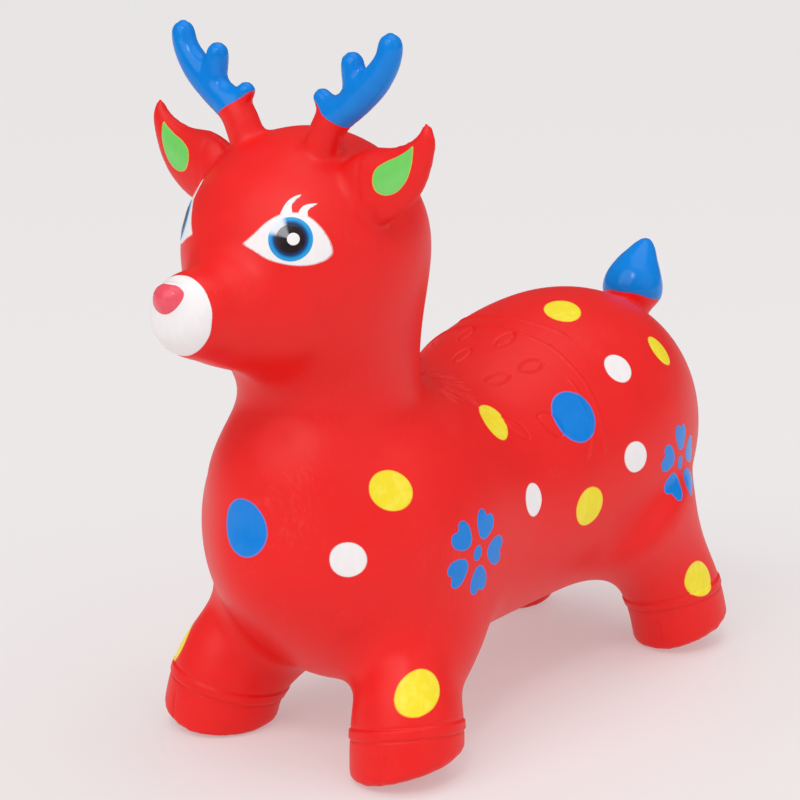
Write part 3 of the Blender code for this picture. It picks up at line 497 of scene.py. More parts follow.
# %% Lofts
def curve_through(rings, places):
    """Ring values at the given places along a smooth curve through every ring."""
    rings = np.asarray(rings, dtype=float)
    steps = np.linalg.norm(np.diff(rings[:, :3], axis=0), axis=1)
    knots = np.concatenate(([0.0], np.cumsum(steps)))
    slopes = np.gradient(rings, knots, axis=0)
    places = np.asarray(places) * knots[-1]
    index = np.clip(np.searchsorted(knots, places) - 1, 0, len(knots) - 2)
    span = (knots[index + 1] - knots[index])[:, None]
    t = (places[:, None] - knots[index][:, None]) / span
    values = (2 * t**3 - 3 * t**2 + 1) * rings[index] + (t**3 - 2 * t**2 + t) * span * slopes[index]
    values += (3 * t**2 - 2 * t**3) * rings[index + 1] + (t**3 - t**2) * span * slopes[index + 1]
    return values, knots[-1], places


def ring_faces(rings, count):
    """Four-sided faces between closed rings of points."""
    faces = []
    for low in range(0, (rings - 1) * count, count):
        for k in range(count):
            after = (k + 1) % count
            faces.append((low + k, low + after, low + count + after, low + count + k))
    return faces


def loft(rings, side, start_rounding=0.0, end_rounding=0.0, stations=60, count=48):
    """Points and faces of a closed lobe. A ring is x, y, z, half size along side, half size across it."""
    turns = np.linspace(0, math.pi, stations)
    values, length, places = curve_through(rings, (1 - np.cos(turns)) / 2)
    swell = np.ones(stations)
    if start_rounding > 0:
        short = np.clip((start_rounding - places) / start_rounding, 0, 1)
        swell *= np.sqrt(1 - short**2)
    if end_rounding > 0:
        short = np.clip((places - length + end_rounding) / end_rounding, 0, 1)
        swell *= np.sqrt(1 - short**2)
    swell = np.maximum(swell, 0.004)
    middles = values[:, :3]
    along = np.gradient(middles, axis=0)
    along /= np.linalg.norm(along, axis=1)[:, None]
    side = np.asarray(side, dtype=float)
    beside = side - (along @ side)[:, None] * along
    beside /= np.linalg.norm(beside, axis=1)[:, None]
    across = np.cross(along, beside)
    angles = np.linspace(0, 2 * math.pi, count, False)
    wide = beside[:, None] * (values[:, 3] * swell)[:, None, None] * np.cos(angles)[None, :, None]
    deep = across[:, None] * (values[:, 4] * swell)[:, None, None] * np.sin(angles)[None, :, None]
    points = (middles[:, None] + wide + deep).reshape(-1, 3)
    faces = [list(range(count))[::-1], list(range((stations - 1) * count, stations * count))]
    return points, faces + ring_faces(stations, count)


def other_side(vector):
    return Vector((-vector.x, vector.y, vector.z))


def mirrored(form):
    points, faces = form
    return points * np.array((-1, 1, 1)), [list(face)[::-1] for face in faces]


def ball(middle, radii, count=32):
    """An oval ball as a loft of its own."""
    rings = [(*(Vector(middle) + Y_AXIS * radii[1] * t), radii[0], radii[2]) for t in (-1, 0, 1)]
    return loft(rings, X_AXIS, radii[1], radii[1], count, count)


# %% One skin over several lobes
def joined(name, forms):
    points, faces, start = [], [], 0
    for some_points, some_faces in forms:
        points.extend(some_points)
        faces.extend([[start + k for k in face] for face in some_faces])
        start += len(some_points)
    mesh = mesh_from(name, points, faces)
    work = bmesh.new()
    work.from_mesh(mesh)
    bmesh.ops.recalc_face_normals(work, faces=work.faces)
    work.to_mesh(mesh)
    work.free()
    return mesh


def evaluated_mesh(thing, name):
    """A plain mesh of an object with its modifiers, which are then removed with the object."""
    bpy.context.view_layer.update()
    graph = bpy.context.evaluated_depsgraph_get()
    mesh = bpy.data.meshes.new_from_object(thing.evaluated_get(graph), depsgraph=graph)
    mesh.name = name
    bpy.data.objects.remove(thing, do_unlink=True)
    return mesh


def blown_skin(name, forms, voxel, rounds, swell):
    """The lobes become one skin, which is then relaxed so that the joins between them fill in."""
    cage = new_object(name, joined(name, forms))
    remesh = cage.modifiers.new("one_skin", "REMESH")
    remesh.mode = "VOXEL"
    remesh.voxel_size = voxel
    relax = cage.modifiers.new("relax", "SMOOTH")
    relax.factor = 0.5
    relax.iterations = rounds
    grow = cage.modifiers.new("swell", "DISPLACE")
    grow.mid_level = 0.0
    grow.strength = swell
    return evaluated_mesh(cage, name)


def form_of(mesh):
    points = np.zeros(len(mesh.vertices) * 3)
    mesh.vertices.foreach_get("co", points)
    return points.reshape(-1, 3), [list(face.vertices) for face in mesh.polygons]


def keep_on_points(mesh, name, values, kind="FLOAT_VECTOR"):
    """Keep values on the points of a mesh as an attribute."""
    kept = mesh.attributes.get(name) or mesh.attributes.new(name, kind, "POINT")
    kept.data.foreach_set("vector" if kind == "FLOAT_VECTOR" else "value", values)

# %% Body, neck, muzzle and legs
def body_rings():
    rings = []
    for along, rise, width, depth in BODY_RINGS:
        middle = (0, BREAST_Y + along * BODY_LENGTH, BODY_AXIS_HEIGHT + rise * BODY_DEPTH)
        rings.append((*middle, width * BODY_WIDTH / 2, depth * BODY_DEPTH / 2))
    return rings


def head_place(ahead, rise):
    return 0, NECK_Y - ahead, NECK_Z + rise


def leg_rings(hip, hoof_back, rings):
    made = []
    for drop, out, back, width, depth in rings:
        middle = (hip.x + out * (HOOF_TRACK / 2 - hip.x), hip.y + back * hoof_back,
                  hip.z - drop * (hip.z + SOLE_CUT))
        made.append((*middle, width * LEG_WIDTH / 2, depth * LEG_DEPTH / 2))
    return made


toe_across = (math.cos(TOE_OUT), math.sin(TOE_OUT), 0)
neck_lobe = [(*head_place(lean * HEAD_LEAN, rise * HEAD_RISE), *half) for rise, lean, *half in NECK_RINGS]
muzzle_lobe = [
    (*head_place(reach * MUZZLE_REACH, rise * HEAD_RISE), width * MUZZLE_WIDTH / 2, depth * MUZZLE_DEPTH / 2)
    for reach, rise, width, depth in MUZZLE_RINGS
]
legs_left = [
    loft(leg_rings(FRONT_HIP, FRONT_HOOF_BACK, FRONT_LEG_RINGS), toe_across, 0.030, 0.012),
    loft(leg_rings(REAR_HIP, REAR_HOOF_BACK, REAR_LEG_RINGS), toe_across, 0.030, 0.012),
]
lobes = [
    loft(body_rings(), X_AXIS, 0.100, 0.164, 90, 72),
    loft(neck_lobe, X_AXIS, 0.020, 0.091, 70, 60),
    loft(muzzle_lobe, X_AXIS, 0.020, 0.038, 50, 48),
    ball(head_place(0.1430, 0.0745), (0.0305, 0.0305, 0.0305)),
    *legs_left,
    *[mirrored(leg) for leg in legs_left],
]
BLOW_VOXEL, BLOW_ROUNDS, BLOW_SWELL = 0.004, 48, 0.0018
bare_skin = blown_skin("bare_skin", lobes, BLOW_VOXEL, BLOW_ROUNDS, BLOW_SWELL)
print("bare skin:", len(bare_skin.vertices), "points")

# %% [markdown]
# Where the legs leave the body the real skin runs over in a wide hollow curve. Only the points that lie
# in a hollow are relaxed further, so the round forms keep their size. Then every hoof is cut off at its
# sole, which is tilted, because the blown legs splay and stand on the inner edges of the hooves. A cut
# gives a straight rim, which the second, finer skin below rounds evenly.

# %% Hollows at the legs
LEG_FILL_ROUNDS = 136
LEG_FILL_TOP = 0.143
LEG_FILL_FADE = 0.030


def neighbour_pull(mesh):
    """A function of the mesh's points that gives the way from each to the middle of its neighbours."""
    count = len(mesh.vertices)
    starts, ends = np.array([edge.vertices for edge in mesh.edges]).T
    links = np.bincount(starts, minlength=count) + np.bincount(ends, minlength=count)

    def pull(points):
        sums = [
            np.bincount(starts, points[ends, k], count) + np.bincount(ends, points[starts, k], count)
            for k in range(3)
        ]
        return np.array(sums).T / links[:, None] - points

    return pull


def fill_hollows(mesh, rounds, top, fade):
    """Relax only points that lie in a hollow below a height."""
    points = np.array([vert.co for vert in mesh.vertices])
    outward = np.zeros(len(points) * 3)
    pull_on = neighbour_pull(mesh)
    for _ in range(rounds):
        pull = pull_on(points)
        mesh.vertex_normals.foreach_get("vector", outward)
        hollow = (pull * outward.reshape(-1, 3)).sum(axis=1) > 0
        share = np.clip((top - points[:, 2]) / fade, 0, 1) * hollow
        points += 0.5 * pull * share[:, None]
        mesh.vertices.foreach_set("co", points.ravel())
        mesh.update()


fill_hollows(bare_skin, LEG_FILL_ROUNDS, LEG_FILL_TOP, LEG_FILL_FADE)

# %% Soles
FRONT_SOLE_TILT = (15.0, 5.0)       # degrees that a sole faces outward and backward
REAR_SOLE_TILT = (14.0, 13.0)
SOLE_PRESS = 0.0034
SOLE_REACH = 0.085
FLOOR_CUT = 0.0002          # the rounding of the cut edges reaches this far below them
CUT_TOLERANCE = 1e-7


def geom_of(faces):
    return list({item for face in faces for item in (face, *face.edges, *face.verts)})


def sole_plane(hip, hoof_back, rings, tilt):
    middle = Vector(next(row[:3] for row, shares in zip(leg_rings(hip, hoof_back, rings), rings)
                         if shares[0] >= 1))
    normal = Vector((math.tan(math.radians(tilt[0])), math.tan(math.radians(tilt[1])), -1)).normalized()
    middle.z = rings[-1][3] * LEG_WIDTH / 2 * math.hypot(normal.x, normal.y) - SOLE_PRESS
    return middle, normal


soles = [
    sole_plane(FRONT_HIP, FRONT_HOOF_BACK, FRONT_LEG_RINGS, FRONT_SOLE_TILT),
    sole_plane(REAR_HIP, REAR_HOOF_BACK, REAR_LEG_RINGS, REAR_SOLE_TILT),
]
soles += [(other_side(middle), other_side(normal)) for middle, normal in soles]
floor_cut = (Vector((0, 0, FLOOR_CUT)), -Z_AXIS)
work = bmesh.new()
work.from_mesh(bare_skin)
for middle, normal in (*soles, floor_cut):
    near = [face for face in work.faces
            if normal == -Z_AXIS or (face.calc_center_median() - middle).length < SOLE_REACH]
    bmesh.ops.bisect_plane(
        work, geom=geom_of(near), dist=CUT_TOLERANCE, plane_co=middle, plane_no=normal, clear_outer=True)
    bmesh.ops.holes_fill(work, edges=[edge for edge in work.edges if edge.is_boundary], sides=0)
open_edges = sum(edge.is_boundary for edge in work.edges)
print("soles:", [round(middle.z, 4) for middle, _ in soles], "open edges:", open_edges)
work.to_mesh(bare_skin)
work.free()

# %% [markdown]
# ## Nose, ears, antlers and tail
# These small lobes would melt away if they were relaxed with the big ones. They are laid on the finished
# skin and fused in a second, finer round, which leaves a soft fillet at every root, as in the mould.

# %% Small lobes
LIMB_GROWTH = 0.0006        # the second round takes this much off a thin tube
NOSE_AT = head_place(0.1660, 0.0885)
EAR_ROOT = (0.600 * HEAD_WIDTH / 2, NECK_Y - 0.0438, NECK_Z + 0.823 * HEAD_RISE)
EAR_LENGTH, EAR_WIDTH, EAR_THICKNESS = 0.085, 0.056, 0.029
EAR_RINGS = (
    (0.000, -0.020, 0.760, 1.000),
    (0.300, 0.040, 0.950, 0.860),
    (0.550, 0.150, 0.760, 0.640),
    (0.715, 0.303, 0.480, 0.460),
    (0.805, 0.455, 0.250, 0.330),
    (0.815, 0.590, 0.090, 0.200),
)
ANTLER_FOOT = Vector((0.0320, NECK_Y - 0.0478, NECK_Z + HEAD_RISE - 0.0110))
ANTLER_SPREAD, ANTLER_RISE = 0.0625, 0.086
# Antler tubes: outward share, upward share, radius
ANTLER_BEAM = (
    (0.000, 0.000, 0.0124),
    (0.205, 0.290, 0.0118),
    (0.525, 0.442, 0.0102),
    (0.795, 0.622, 0.0100),
    (0.978, 0.815, 0.0082),
    (1.000, 1.000, 0.0080),
)
ANTLER_MID_PRONG = ((0.545, 0.500, 0.00912), (0.480, 0.690, 0.0076), (0.465, 0.836, 0.0076))
ANTLER_LOW_PRONG = ((0.230, 0.350, 0.00768), (0.060, 0.440, 0.0064), (0.000, 0.524, 0.0064))
TAIL_LEAN = math.radians(23)
TAIL_ROOT = Vector((0, BREAST_Y + BODY_LENGTH - 0.051, BODY_AXIS_HEIGHT + 0.5415 * BODY_DEPTH - 0.042))
TAIL_UP = Vector((0, math.sin(TAIL_LEAN), math.cos(TAIL_LEAN)))
TAIL_LENGTH, TAIL_WIDTH = 0.083, 0.0490
# Tail: place along, width share, how far the ring sits ahead of the straight tail
TAIL_RINGS = (
    (0.000, 0.52, 0.002), (0.220, 0.68, 0.003), (0.400, 1.02, 0.005), (0.540, 1.00, 0.0055),
    (0.700, 0.77, 0.0045), (0.850, 0.46, 0.002), (1.000, 0.25, 0.000),
)


def antler_tube(rings, rounding):
    made = []
    for out, up, radius in rings:
        middle = ANTLER_FOOT + Vector((out * ANTLER_SPREAD, 0, up * ANTLER_RISE))
        made.append((*middle, radius + LIMB_GROWTH, radius + LIMB_GROWTH))
    return loft(made, Y_AXIS, 0.0, rounding, 32, 24)


ear_rows = [
    (EAR_ROOT[0] + out * EAR_LENGTH, EAR_ROOT[1], EAR_ROOT[2] + up * EAR_LENGTH,
     thick * EAR_THICKNESS / 2 + LIMB_GROWTH / 2, wide * EAR_WIDTH / 2 + LIMB_GROWTH / 2)
    for out, up, wide, thick in EAR_RINGS
]
tail_rows = []
for along, width, ahead in TAIL_RINGS:
    radius = width * TAIL_WIDTH / 2 + LIMB_GROWTH
    tail_rows.append((*(TAIL_ROOT + TAIL_UP * along * TAIL_LENGTH - Y_AXIS * ahead), radius, radius))
small_left = [
    loft(ear_rows, Y_AXIS, 0.012, 0.006, 40, 40),
    antler_tube(ANTLER_BEAM, 0.0086),
    antler_tube(ANTLER_MID_PRONG, 0.0076),
    antler_tube(ANTLER_LOW_PRONG, 0.0064),
]
small_lobes = [
    ball(NOSE_AT, (0.0135, 0.0100, 0.01125)),
    loft(tail_rows, X_AXIS, 0.0, 0.0127, 40, 32),
    *small_left,
    *[mirrored(lobe) for lobe in small_left],
]
FUSE_VOXEL, FUSE_ROUNDS, FUSE_SWELL = 0.0029, 9, 0.0003
RIM_REACH, RIM_ROUNDS = 0.0055, 14
whole_skin = blown_skin("whole_skin", [form_of(bare_skin), *small_lobes], FUSE_VOXEL, FUSE_ROUNDS, FUSE_SWELL)


def soften_rims(mesh, planes, reach, rounds):
    """Relax the points near the sole planes, which rounds the rims and leaves the flat soles as they are."""
    points = np.array([vert.co for vert in mesh.vertices])
    share = np.zeros(len(points))
    for middle, normal in planes:
        away = points - np.array(middle)
        near = np.linalg.norm(away, axis=1) < SOLE_REACH
        share = np.maximum(share, near * np.clip(1.5 - 1.5 * np.abs(away @ np.array(normal)) / reach, 0, 1))
    pull_on = neighbour_pull(mesh)
    for _ in range(rounds):
        points += 0.5 * pull_on(points) * share[:, None]
    points[:, 2] = np.maximum(points[:, 2], 0.0)
    mesh.vertices.foreach_set("co", points.ravel())
    mesh.update()


soften_rims(whole_skin, soles, RIM_REACH, RIM_ROUNDS)
print("whole skin:", len(whole_skin.vertices), "points")

# %% [markdown]
# ## Relief from the mould
# The mould carries fine lines: the edge of a saddle cloth round the back, leaves in rings behind the
# neck, pleats that fan out from the neck, a band round each hoof and the cleft of the toes. They are
# drawn as polylines dropped on the skin, and a Geometry Nodes tree lifts or sinks the skin wherever it is
# near a line. Only the skin near the lines is given a finer mesh, so the rest stays light.


# %% Lines on the skin
def tree_of(mesh):
    return BVHTree.FromPolygons([v.co for v in mesh.vertices], [p.vertices for p in mesh.polygons])


skin_tree = tree_of(whole_skin)
LINE_STEP = 0.0015
FADE_DEPTH = 0.0030         # a line's ends dive this far under the skin, so the ridge runs out


def through(points):
    """Evenly spaced points on a smooth curve through a few."""
    points = np.array([tuple(p) for p in points])
    rows = np.hstack([points, np.zeros((len(points), 1))])
    length = np.linalg.norm(np.diff(points, axis=0), axis=1).sum()
    return curve_through(rows, np.linspace(0, 1, max(3, int(length / LINE_STEP))))[0][:, :3]


def on_skin(points, fade_start=0.0, fade_end=0.0):
    """The points snapped to the skin, with the ends of the line sunk under it."""
    made = []
    last = len(points) - 1
    for k, point in enumerate(points):
        spot, normal, _, _ = skin_tree.find_nearest(Vector(point))
        ends = ((k * LINE_STEP, fade_start), ((last - k) * LINE_STEP, fade_end))
        dive = max(0, *[1 - away / fade if fade else 0 for away, fade in ends])
        made.append(spot - normal * FADE_DEPTH * dive)
    return made


def both_sides(lines):
    return lines + [[other_side(point) for point in line] for line in lines]


def line_object(name, lines, closed=()):
    points, edges = [], []
    for number, line in enumerate(lines):
        start = len(points)
        points.extend(line)
        edges.extend([(start + k, start + k + 1) for k in range(len(line) - 1)])
        if number in closed:
            edges.append((start + len(line) - 1, start))
    thing = new_object(name, mesh_from(name, points, [], edges))
    thing.hide_render = True
    return thing


# Edge of the saddle cloth, from the middle of the back down the flank and forward
CLOTH_EDGE = (
    (0.0, 0.0690, 0.2845), (0.0250, 0.0675, 0.2813), (0.0530, 0.0729, 0.2710), (0.0684, 0.0742, 0.2601),
    (0.0817, 0.0758, 0.2464), (0.0917, 0.0754, 0.2319), (0.0989, 0.0735, 0.2172), (0.1035, 0.0713, 0.2023),
    (0.1058, 0.0656, 0.1890),
)
CLOTH_INNER_EDGE = (
    (0.0684, 0.0640, 0.2570), (0.0815, 0.0650, 0.2428), (0.0904, 0.0647, 0.2297), (0.0975, 0.0628, 0.2151),
    (0.1011, 0.0551, 0.2012), (0.1020, 0.0402, 0.1885),
)
CLOTH_OUTER_EDGE = (
    (0.0, 0.0815, 0.2890), (0.0268, 0.0854, 0.2859), (0.0445, 0.0906, 0.2808), (0.0640, 0.0975, 0.2710),
)
ridge_lines = both_sides([
    on_skin(through(CLOTH_EDGE), 0, 0.016),
    on_skin(through(CLOTH_INNER_EDGE), 0.012, 0.020),
    on_skin(through(CLOTH_OUTER_EDGE), 0, 0.020),
])

LEAF_CENTRE = Vector((0, -0.080, 0))
LEAF_ROWS = ((0.104, (0, 23, -23, 46, -46)), (0.136, (8, -8, 22, -22, 38, -38)))
LEAF_LENGTH, LEAF_WIDTH = 0.0215, 0.0100
leaf_lines = []
for radius, angles in LEAF_ROWS:
    for angle in angles:
        out = Vector((math.sin(math.radians(angle)), math.cos(math.radians(angle)), 0))
        beside = Vector((out.y, -out.x, 0))
        outline = []
        for t in np.linspace(0, 2 * math.pi, 44, False):
            flat = LEAF_CENTRE + out * (radius + LEAF_LENGTH / 2 * math.cos(t))
            flat += beside * LEAF_WIDTH / 2 * math.sin(t) * abs(math.sin(t)) ** 0.35
            outline.append(skin_tree.ray_cast(flat + Z_AXIS, -Z_AXIS)[0])
        leaf_lines.append(outline)

PLEAT_COUNT = 34
PLEAT_CENTRE = Vector((0, -0.062, 0))
PLEAT_FAN, PLEAT_STRAY = 84, 1.6    # degrees to each side of straight back, and off the even fan
PLEAT_WIDENING = 1.25
PLEAT_START, PLEAT_END = 0.022, 0.064
SIDE_PLEAT_END, SIDE_PLEAT_TURN = 0.050, 0.95   # past this turn the pleats stop short of the yellow spot
PLEAT_TOPS = (0.278, 0.330)         # rays start under the head, or over the back where it rises to the neck
PLEAT_FACING = 0.25                 # a hit counts only where the skin's normal rises at least this much
PLEAT_FADES = (0.012, 0.020)
SHORTEST_PLEAT = 8                  # points
draw = np.random.default_rng(7)
pleat_lines = []
for k in range(PLEAT_COUNT):
    stray = draw.uniform(-PLEAT_STRAY, PLEAT_STRAY)
    angle = math.radians(-PLEAT_FAN + 2 * PLEAT_FAN * k / (PLEAT_COUNT - 1) + stray)
    start = PLEAT_START + draw.uniform(0, 0.006)
    end = (SIDE_PLEAT_END if abs(angle) > SIDE_PLEAT_TURN else PLEAT_END) + draw.uniform(0, 0.006)
    bow = draw.uniform(-0.06, 0.06)
    line = []
    for t in np.linspace(0, 1, int((end - start) / LINE_STEP)):
        turn = angle + bow * t
        out = Vector((math.sin(turn) * PLEAT_WIDENING, math.cos(turn), 0))
        flat = PLEAT_CENTRE + out * (start + (end - start) * t)
        hits = [skin_tree.ray_cast(flat + Z_AXIS * top, -Z_AXIS) for top in PLEAT_TOPS]
        line += [hit[0] for hit in hits if hit[0] is not None and hit[1].z > PLEAT_FACING][:1]
    if len(line) > SHORTEST_PLEAT:
        pleat_lines.append(on_skin(line, *PLEAT_FADES))
print("cloth edges:", len(ridge_lines), "leaves:", len(leaf_lines), "pleats:", len(pleat_lines))

# %% Bands round the hooves and clefts
# The plane of a band's middle line: height at the origin, slope along x, slope along y
HOOF_BANDS = (
    (Vector((0.0880, -0.1590, 0)), (-0.0123, 0.235, -0.165)),
    (Vector((0.0870, 0.2130, 0)), (0.0083, 0.200, 0.100)),
)
BAND_HALF_WIDTH = 0.0042
BAND_RIM_OFFSET = BAND_HALF_WIDTH + 0.0006
CLEFTS = (
    ((0.0985, 0.1645, 0.0330), (0.0978, 0.1717, 0.0215), (0.0960, 0.1800, 0.0050)),
    ((0.1030, -0.2050, 0.0360), (0.1020, -0.2075, 0.0220), (0.1000, -0.2020, 0.0040)),
)
EAR_CREASE = (
    (0.0700, -0.1900, 0.4590), (0.0730, -0.1960, 0.4330), (0.0760, -0.1950, 0.4130),
    (0.0830, -0.1790, 0.4050), (0.0840, -0.1600, 0.4090),
)


def loop_round(middle, plane, lift=0.0):
    """Where a tilted plane meets the leg, looked for from the leg's middle outward."""
    base, slope_x, slope_y = plane
    start = Vector((middle.x, middle.y, base + slope_x * middle.x + slope_y * middle.y + lift))
    line = []
    for t in np.linspace(0, 2 * math.pi, 150, False):
        out = Vector((math.cos(t), math.sin(t), slope_x * math.cos(t) + slope_y * math.sin(t))).normalized()
        line.append(skin_tree.ray_cast(start, out)[0])
    return line


band_lines, band_rims = [], []
for middle, plane in HOOF_BANDS:
    band_lines += both_sides([loop_round(middle, plane)])
    band_rims += both_sides([loop_round(middle, plane, way * BAND_RIM_OFFSET) for way in (-1, 1)])
cleft_lines = both_sides([on_skin(through(line), 0.006, 0.004) for line in CLEFTS])
crease_lines = both_sides([on_skin(through(EAR_CREASE), 0.018, 0.018)])
print("hoof bands:", len(band_lines), "clefts:", len(cleft_lines), "ear creases:", len(crease_lines))

# %% A finer mesh near the lines
FINE_REACH = 0.0031
FINE_CUTS = 2
FINE_ROUNDS = 5


def refined(mesh, lines):
    """The mesh with small faces near the lines, smoothed so that no old facet shows."""
    points = [point for line in lines for point in line]
    near = KDTree(len(points))
    for number, point in enumerate(points):
        near.insert(point, number)
    near.balance()
    work = bmesh.new()
    work.from_mesh(mesh)
    faces = [face for face in work.faces if near.find(face.calc_center_median())[2] < FINE_REACH]
    edges = list({edge for face in faces for edge in face.edges})
    made = bmesh.ops.subdivide_edges(work, edges=edges, cuts=FINE_CUTS, use_grid_fill=True)
    fresh = {item for item in made["geom_inner"] if isinstance(item, bmesh.types.BMVert)}
    fresh |= {vert for edge in edges if edge.is_valid for vert in edge.verts}
    for _ in range(FINE_ROUNDS):
        bmesh.ops.smooth_vert(
            work, verts=list(fresh), factor=0.5, use_axis_x=True, use_axis_y=True, use_axis_z=True)
    work.to_mesh(mesh)
    work.free()
    mesh.update()
    return mesh


all_lines = ridge_lines + leaf_lines + pleat_lines + band_lines + band_rims + cleft_lines + crease_lines
whole_skin = refined(whole_skin, all_lines)
print("refined skin:", len(whole_skin.vertices), "points")

# %% Geometry Nodes: lift the skin along lines
GEOMETRY_IN, GEOMETRY_OUT = ("Geometry", "Geometry", None), ("Geometry", "Geometry")


def with_tree(thing, tree, values):
    """The tree as a modifier, its inputs set by their identifiers."""
    step = thing.modifiers.new(tree.name, "NODES")
    step.node_group = tree
    for item in tree.interface.items_tree:
        if item.item_type == "SOCKET" and item.in_out == "INPUT" and item.name in values:
            step[item.identifier] = values[item.name]
    return thing


relief_tree, enter, leave = node_group("relief_along_lines", "GeometryNodeTree", (
    GEOMETRY_IN, ("Lines", "Object", None), ("Height", "Float", 0.0008), ("Flat Half Width", "Float", 0.0),
    ("Half Width", "Float", 0.0015), ("Vinyl", "Material", None),
), (GEOMETRY_OUT,))
lines_info = add_node(relief_tree, "GeometryNodeObjectInfo", {"Object": (enter, "Lines")})
nearness = add_node(
    relief_tree, "GeometryNodeProximity", {0: (lines_info, "Geometry")}, target_element="EDGES")
falloff = add_node(relief_tree, "ShaderNodeMapRange", {
    "Value": (nearness, "Distance"), "From Min": (enter, "Flat Half Width"),
    "From Max": (enter, "Half Width"), "To Min": 1.0, "To Max": 0.0,
}, interpolation_type="SMOOTHERSTEP")
rise = maths(relief_tree, "MULTIPLY", (falloff, "Result"), (enter, "Height"))
outward = add_node(relief_tree, "GeometryNodeInputNormal")
lift = add_node(relief_tree, "ShaderNodeVectorMath", {0: outward, "Scale": rise}, operation="SCALE")
move = add_node(relief_tree, "GeometryNodeSetPosition", {"Geometry": (enter, "Geometry"), "Offset": lift})
whole = add_node(relief_tree, "GeometryNodeRealizeInstances", {0: move})
coat = add_node(relief_tree, "GeometryNodeSetMaterial", {"Geometry": whole, "Material": (enter, "Vinyl")})
wire(relief_tree, coat, leave, 0)
lay_out(relief_tree)

RELIEF = (
    # name, lines, closed, height, half width of its flat top, half width
    ("cloth_edges", ridge_lines, (), 0.00125, 0.0, 0.0022),
    ("leaves", leaf_lines, range(len(leaf_lines)), -0.00105, 0.0, 0.0018),
    ("pleats", pleat_lines, (), -0.00250, 0.0, 0.0020),
    ("hoof_bands", band_lines, range(len(band_lines)), 0.00110, 0.0026, BAND_HALF_WIDTH),
    ("band_rims", band_rims, range(len(band_rims)), -0.00050, 0.0, 0.0013),
    ("clefts", cleft_lines, (), -0.00070, 0.0, 0.0021),
    ("ear_creases", crease_lines, (), -0.00040, 0.0, 0.0040),
)
skin_object = new_object("moulded_skin", whole_skin)
line_objects = []
for name, lines, closed, height, flat_half_width, half_width in RELIEF:
    line_objects.append(line_object(name, lines, closed))
    with_tree(skin_object, relief_tree, {
        "Lines": line_objects[-1], "Height": height, "Flat Half Width": flat_half_width,
        "Half Width": half_width, "Vinyl": red_vinyl,
    })
moulded = evaluated_mesh(skin_object, "moulded")
for thing in line_objects:
    bpy.data.objects.remove(thing, do_unlink=True)
print("moulded skin:", len(moulded.vertices), "points,", len(moulded.polygons), "faces")

# %% [markdown]
# ## Parting the skin into the pieces that move
# The real skin bends at the neck, the hips and the roots of ears, antlers and tail. The one skin is cut
# at planes there, and the faces are sorted by flooding from a point in each piece up to the cuts. Both
# sides of a cut keep the same points and the same normals, and each piece starts to bend only past its
# cut, so no seam shows at rest or in motion. Every piece is closed with a lid inside.

# %% Cuts
HIP_BAND = 0.015
HIP_HEIGHT = 0.0558


def leg_crossing(hip, hoof_back, rings):
    values, _, _ = curve_through(leg_rings(hip, hoof_back, rings), np.linspace(0, 1, 200))
    index = int(np.argmin(np.abs(values[:, 2] - HIP_HEIGHT)))
    step = values[index + 1, :3] - values[index - 1, :3]
    return Vector(values[index, :3]), Vector((step[0], 0, step[2])).normalized()


front_hip_at, front_down = leg_crossing(FRONT_HIP, FRONT_HOOF_BACK, FRONT_LEG_RINGS)
rear_hip_at, rear_down = leg_crossing(REAR_HIP, REAR_HOOF_BACK, REAR_LEG_RINGS)
ANTLER_LEAN = math.radians(33)
antler_way = Vector((math.sin(ANTLER_LEAN), 0, math.cos(ANTLER_LEAN)))
ear_way = Vector((0.955, 0, 0.297))
# label, cut place, direction into the piece, reach of the cut, seed inside the piece, bend length, bodies
CUTS = [
    ("head", Vector((0, -0.160, 0.2835)), Z_AXIS, 0.150, Vector((0, -0.25, 0.45)), 0.024, "torso", "head"),
    ("tail", TAIL_ROOT + TAIL_UP * 0.0265, TAIL_UP, 0.035, TAIL_ROOT + TAIL_UP * 0.07, 0.007,
     "torso", "tail"),
]
for label, at, down, seed in (
    ("front_left_leg", front_hip_at, front_down, Vector((0.092, -0.162, 0.0))),
    ("rear_left_leg", rear_hip_at, rear_down, Vector((0.088, 0.216, 0.0))),
):
    CUTS.append((label, at - down * HIP_BAND / 2, down, 0.085, seed, HIP_BAND + 0.004, "torso", label))
CUTS += [
    ("left_ear", Vector((0.0790, EAR_ROOT[1], 0.4330)), ear_way, 0.040, Vector((0.118, -0.180, 0.463)), 0.013,
     "head", "left_ear"),
    ("left_antler", ANTLER_FOOT + antler_way * 0.0165, antler_way, 0.032,
     ANTLER_FOOT + Vector((ANTLER_SPREAD, 0, 0.08)), 0.012, "head", "left_antler"),
]
for label, at, way, reach, seed, bend, parent, body in list(CUTS):
    if "left" in label:
        other = label.replace("left", "right")
        CUTS.append((other, other_side(at), other_side(way), reach, other_side(seed), bend, parent, other))

work = bmesh.new()
work.from_mesh(moulded)
for label, at, way, reach, *_ in CUTS:
    near = [face for face in work.faces if (face.calc_center_median() - at).length < reach
            and (label != "head" or face.calc_center_median().y < 0)]
    made = bmesh.ops.bisect_plane(work, geom=geom_of(near), dist=CUT_TOLERANCE, plane_co=at, plane_no=way)
    for item in made["geom_cut"]:
        if isinstance(item, bmesh.types.BMEdge):
            item.seam = True
work.faces.ensure_lookup_table()
labels = {}
for label, at, way, reach, seed, *_ in CUTS:
    start = min(work.faces, key=lambda face: (face.calc_center_median() - seed).length)
    pending = [start]
    labels[start.index] = label
    while pending:
        face = pending.pop()
        for edge in face.edges:
            if not edge.seam:
                for beyond in edge.link_faces:
                    if beyond.index not in labels:
                        labels[beyond.index] = label
                        pending.append(beyond)
work.to_mesh(moulded)
work.free()
moulded.update()
counts = {label: sum(1 for value in labels.values() if value == label) for label, *_ in CUTS}
print("faces past each cut:", counts, "body:", len(moulded.polygons) - len(labels))


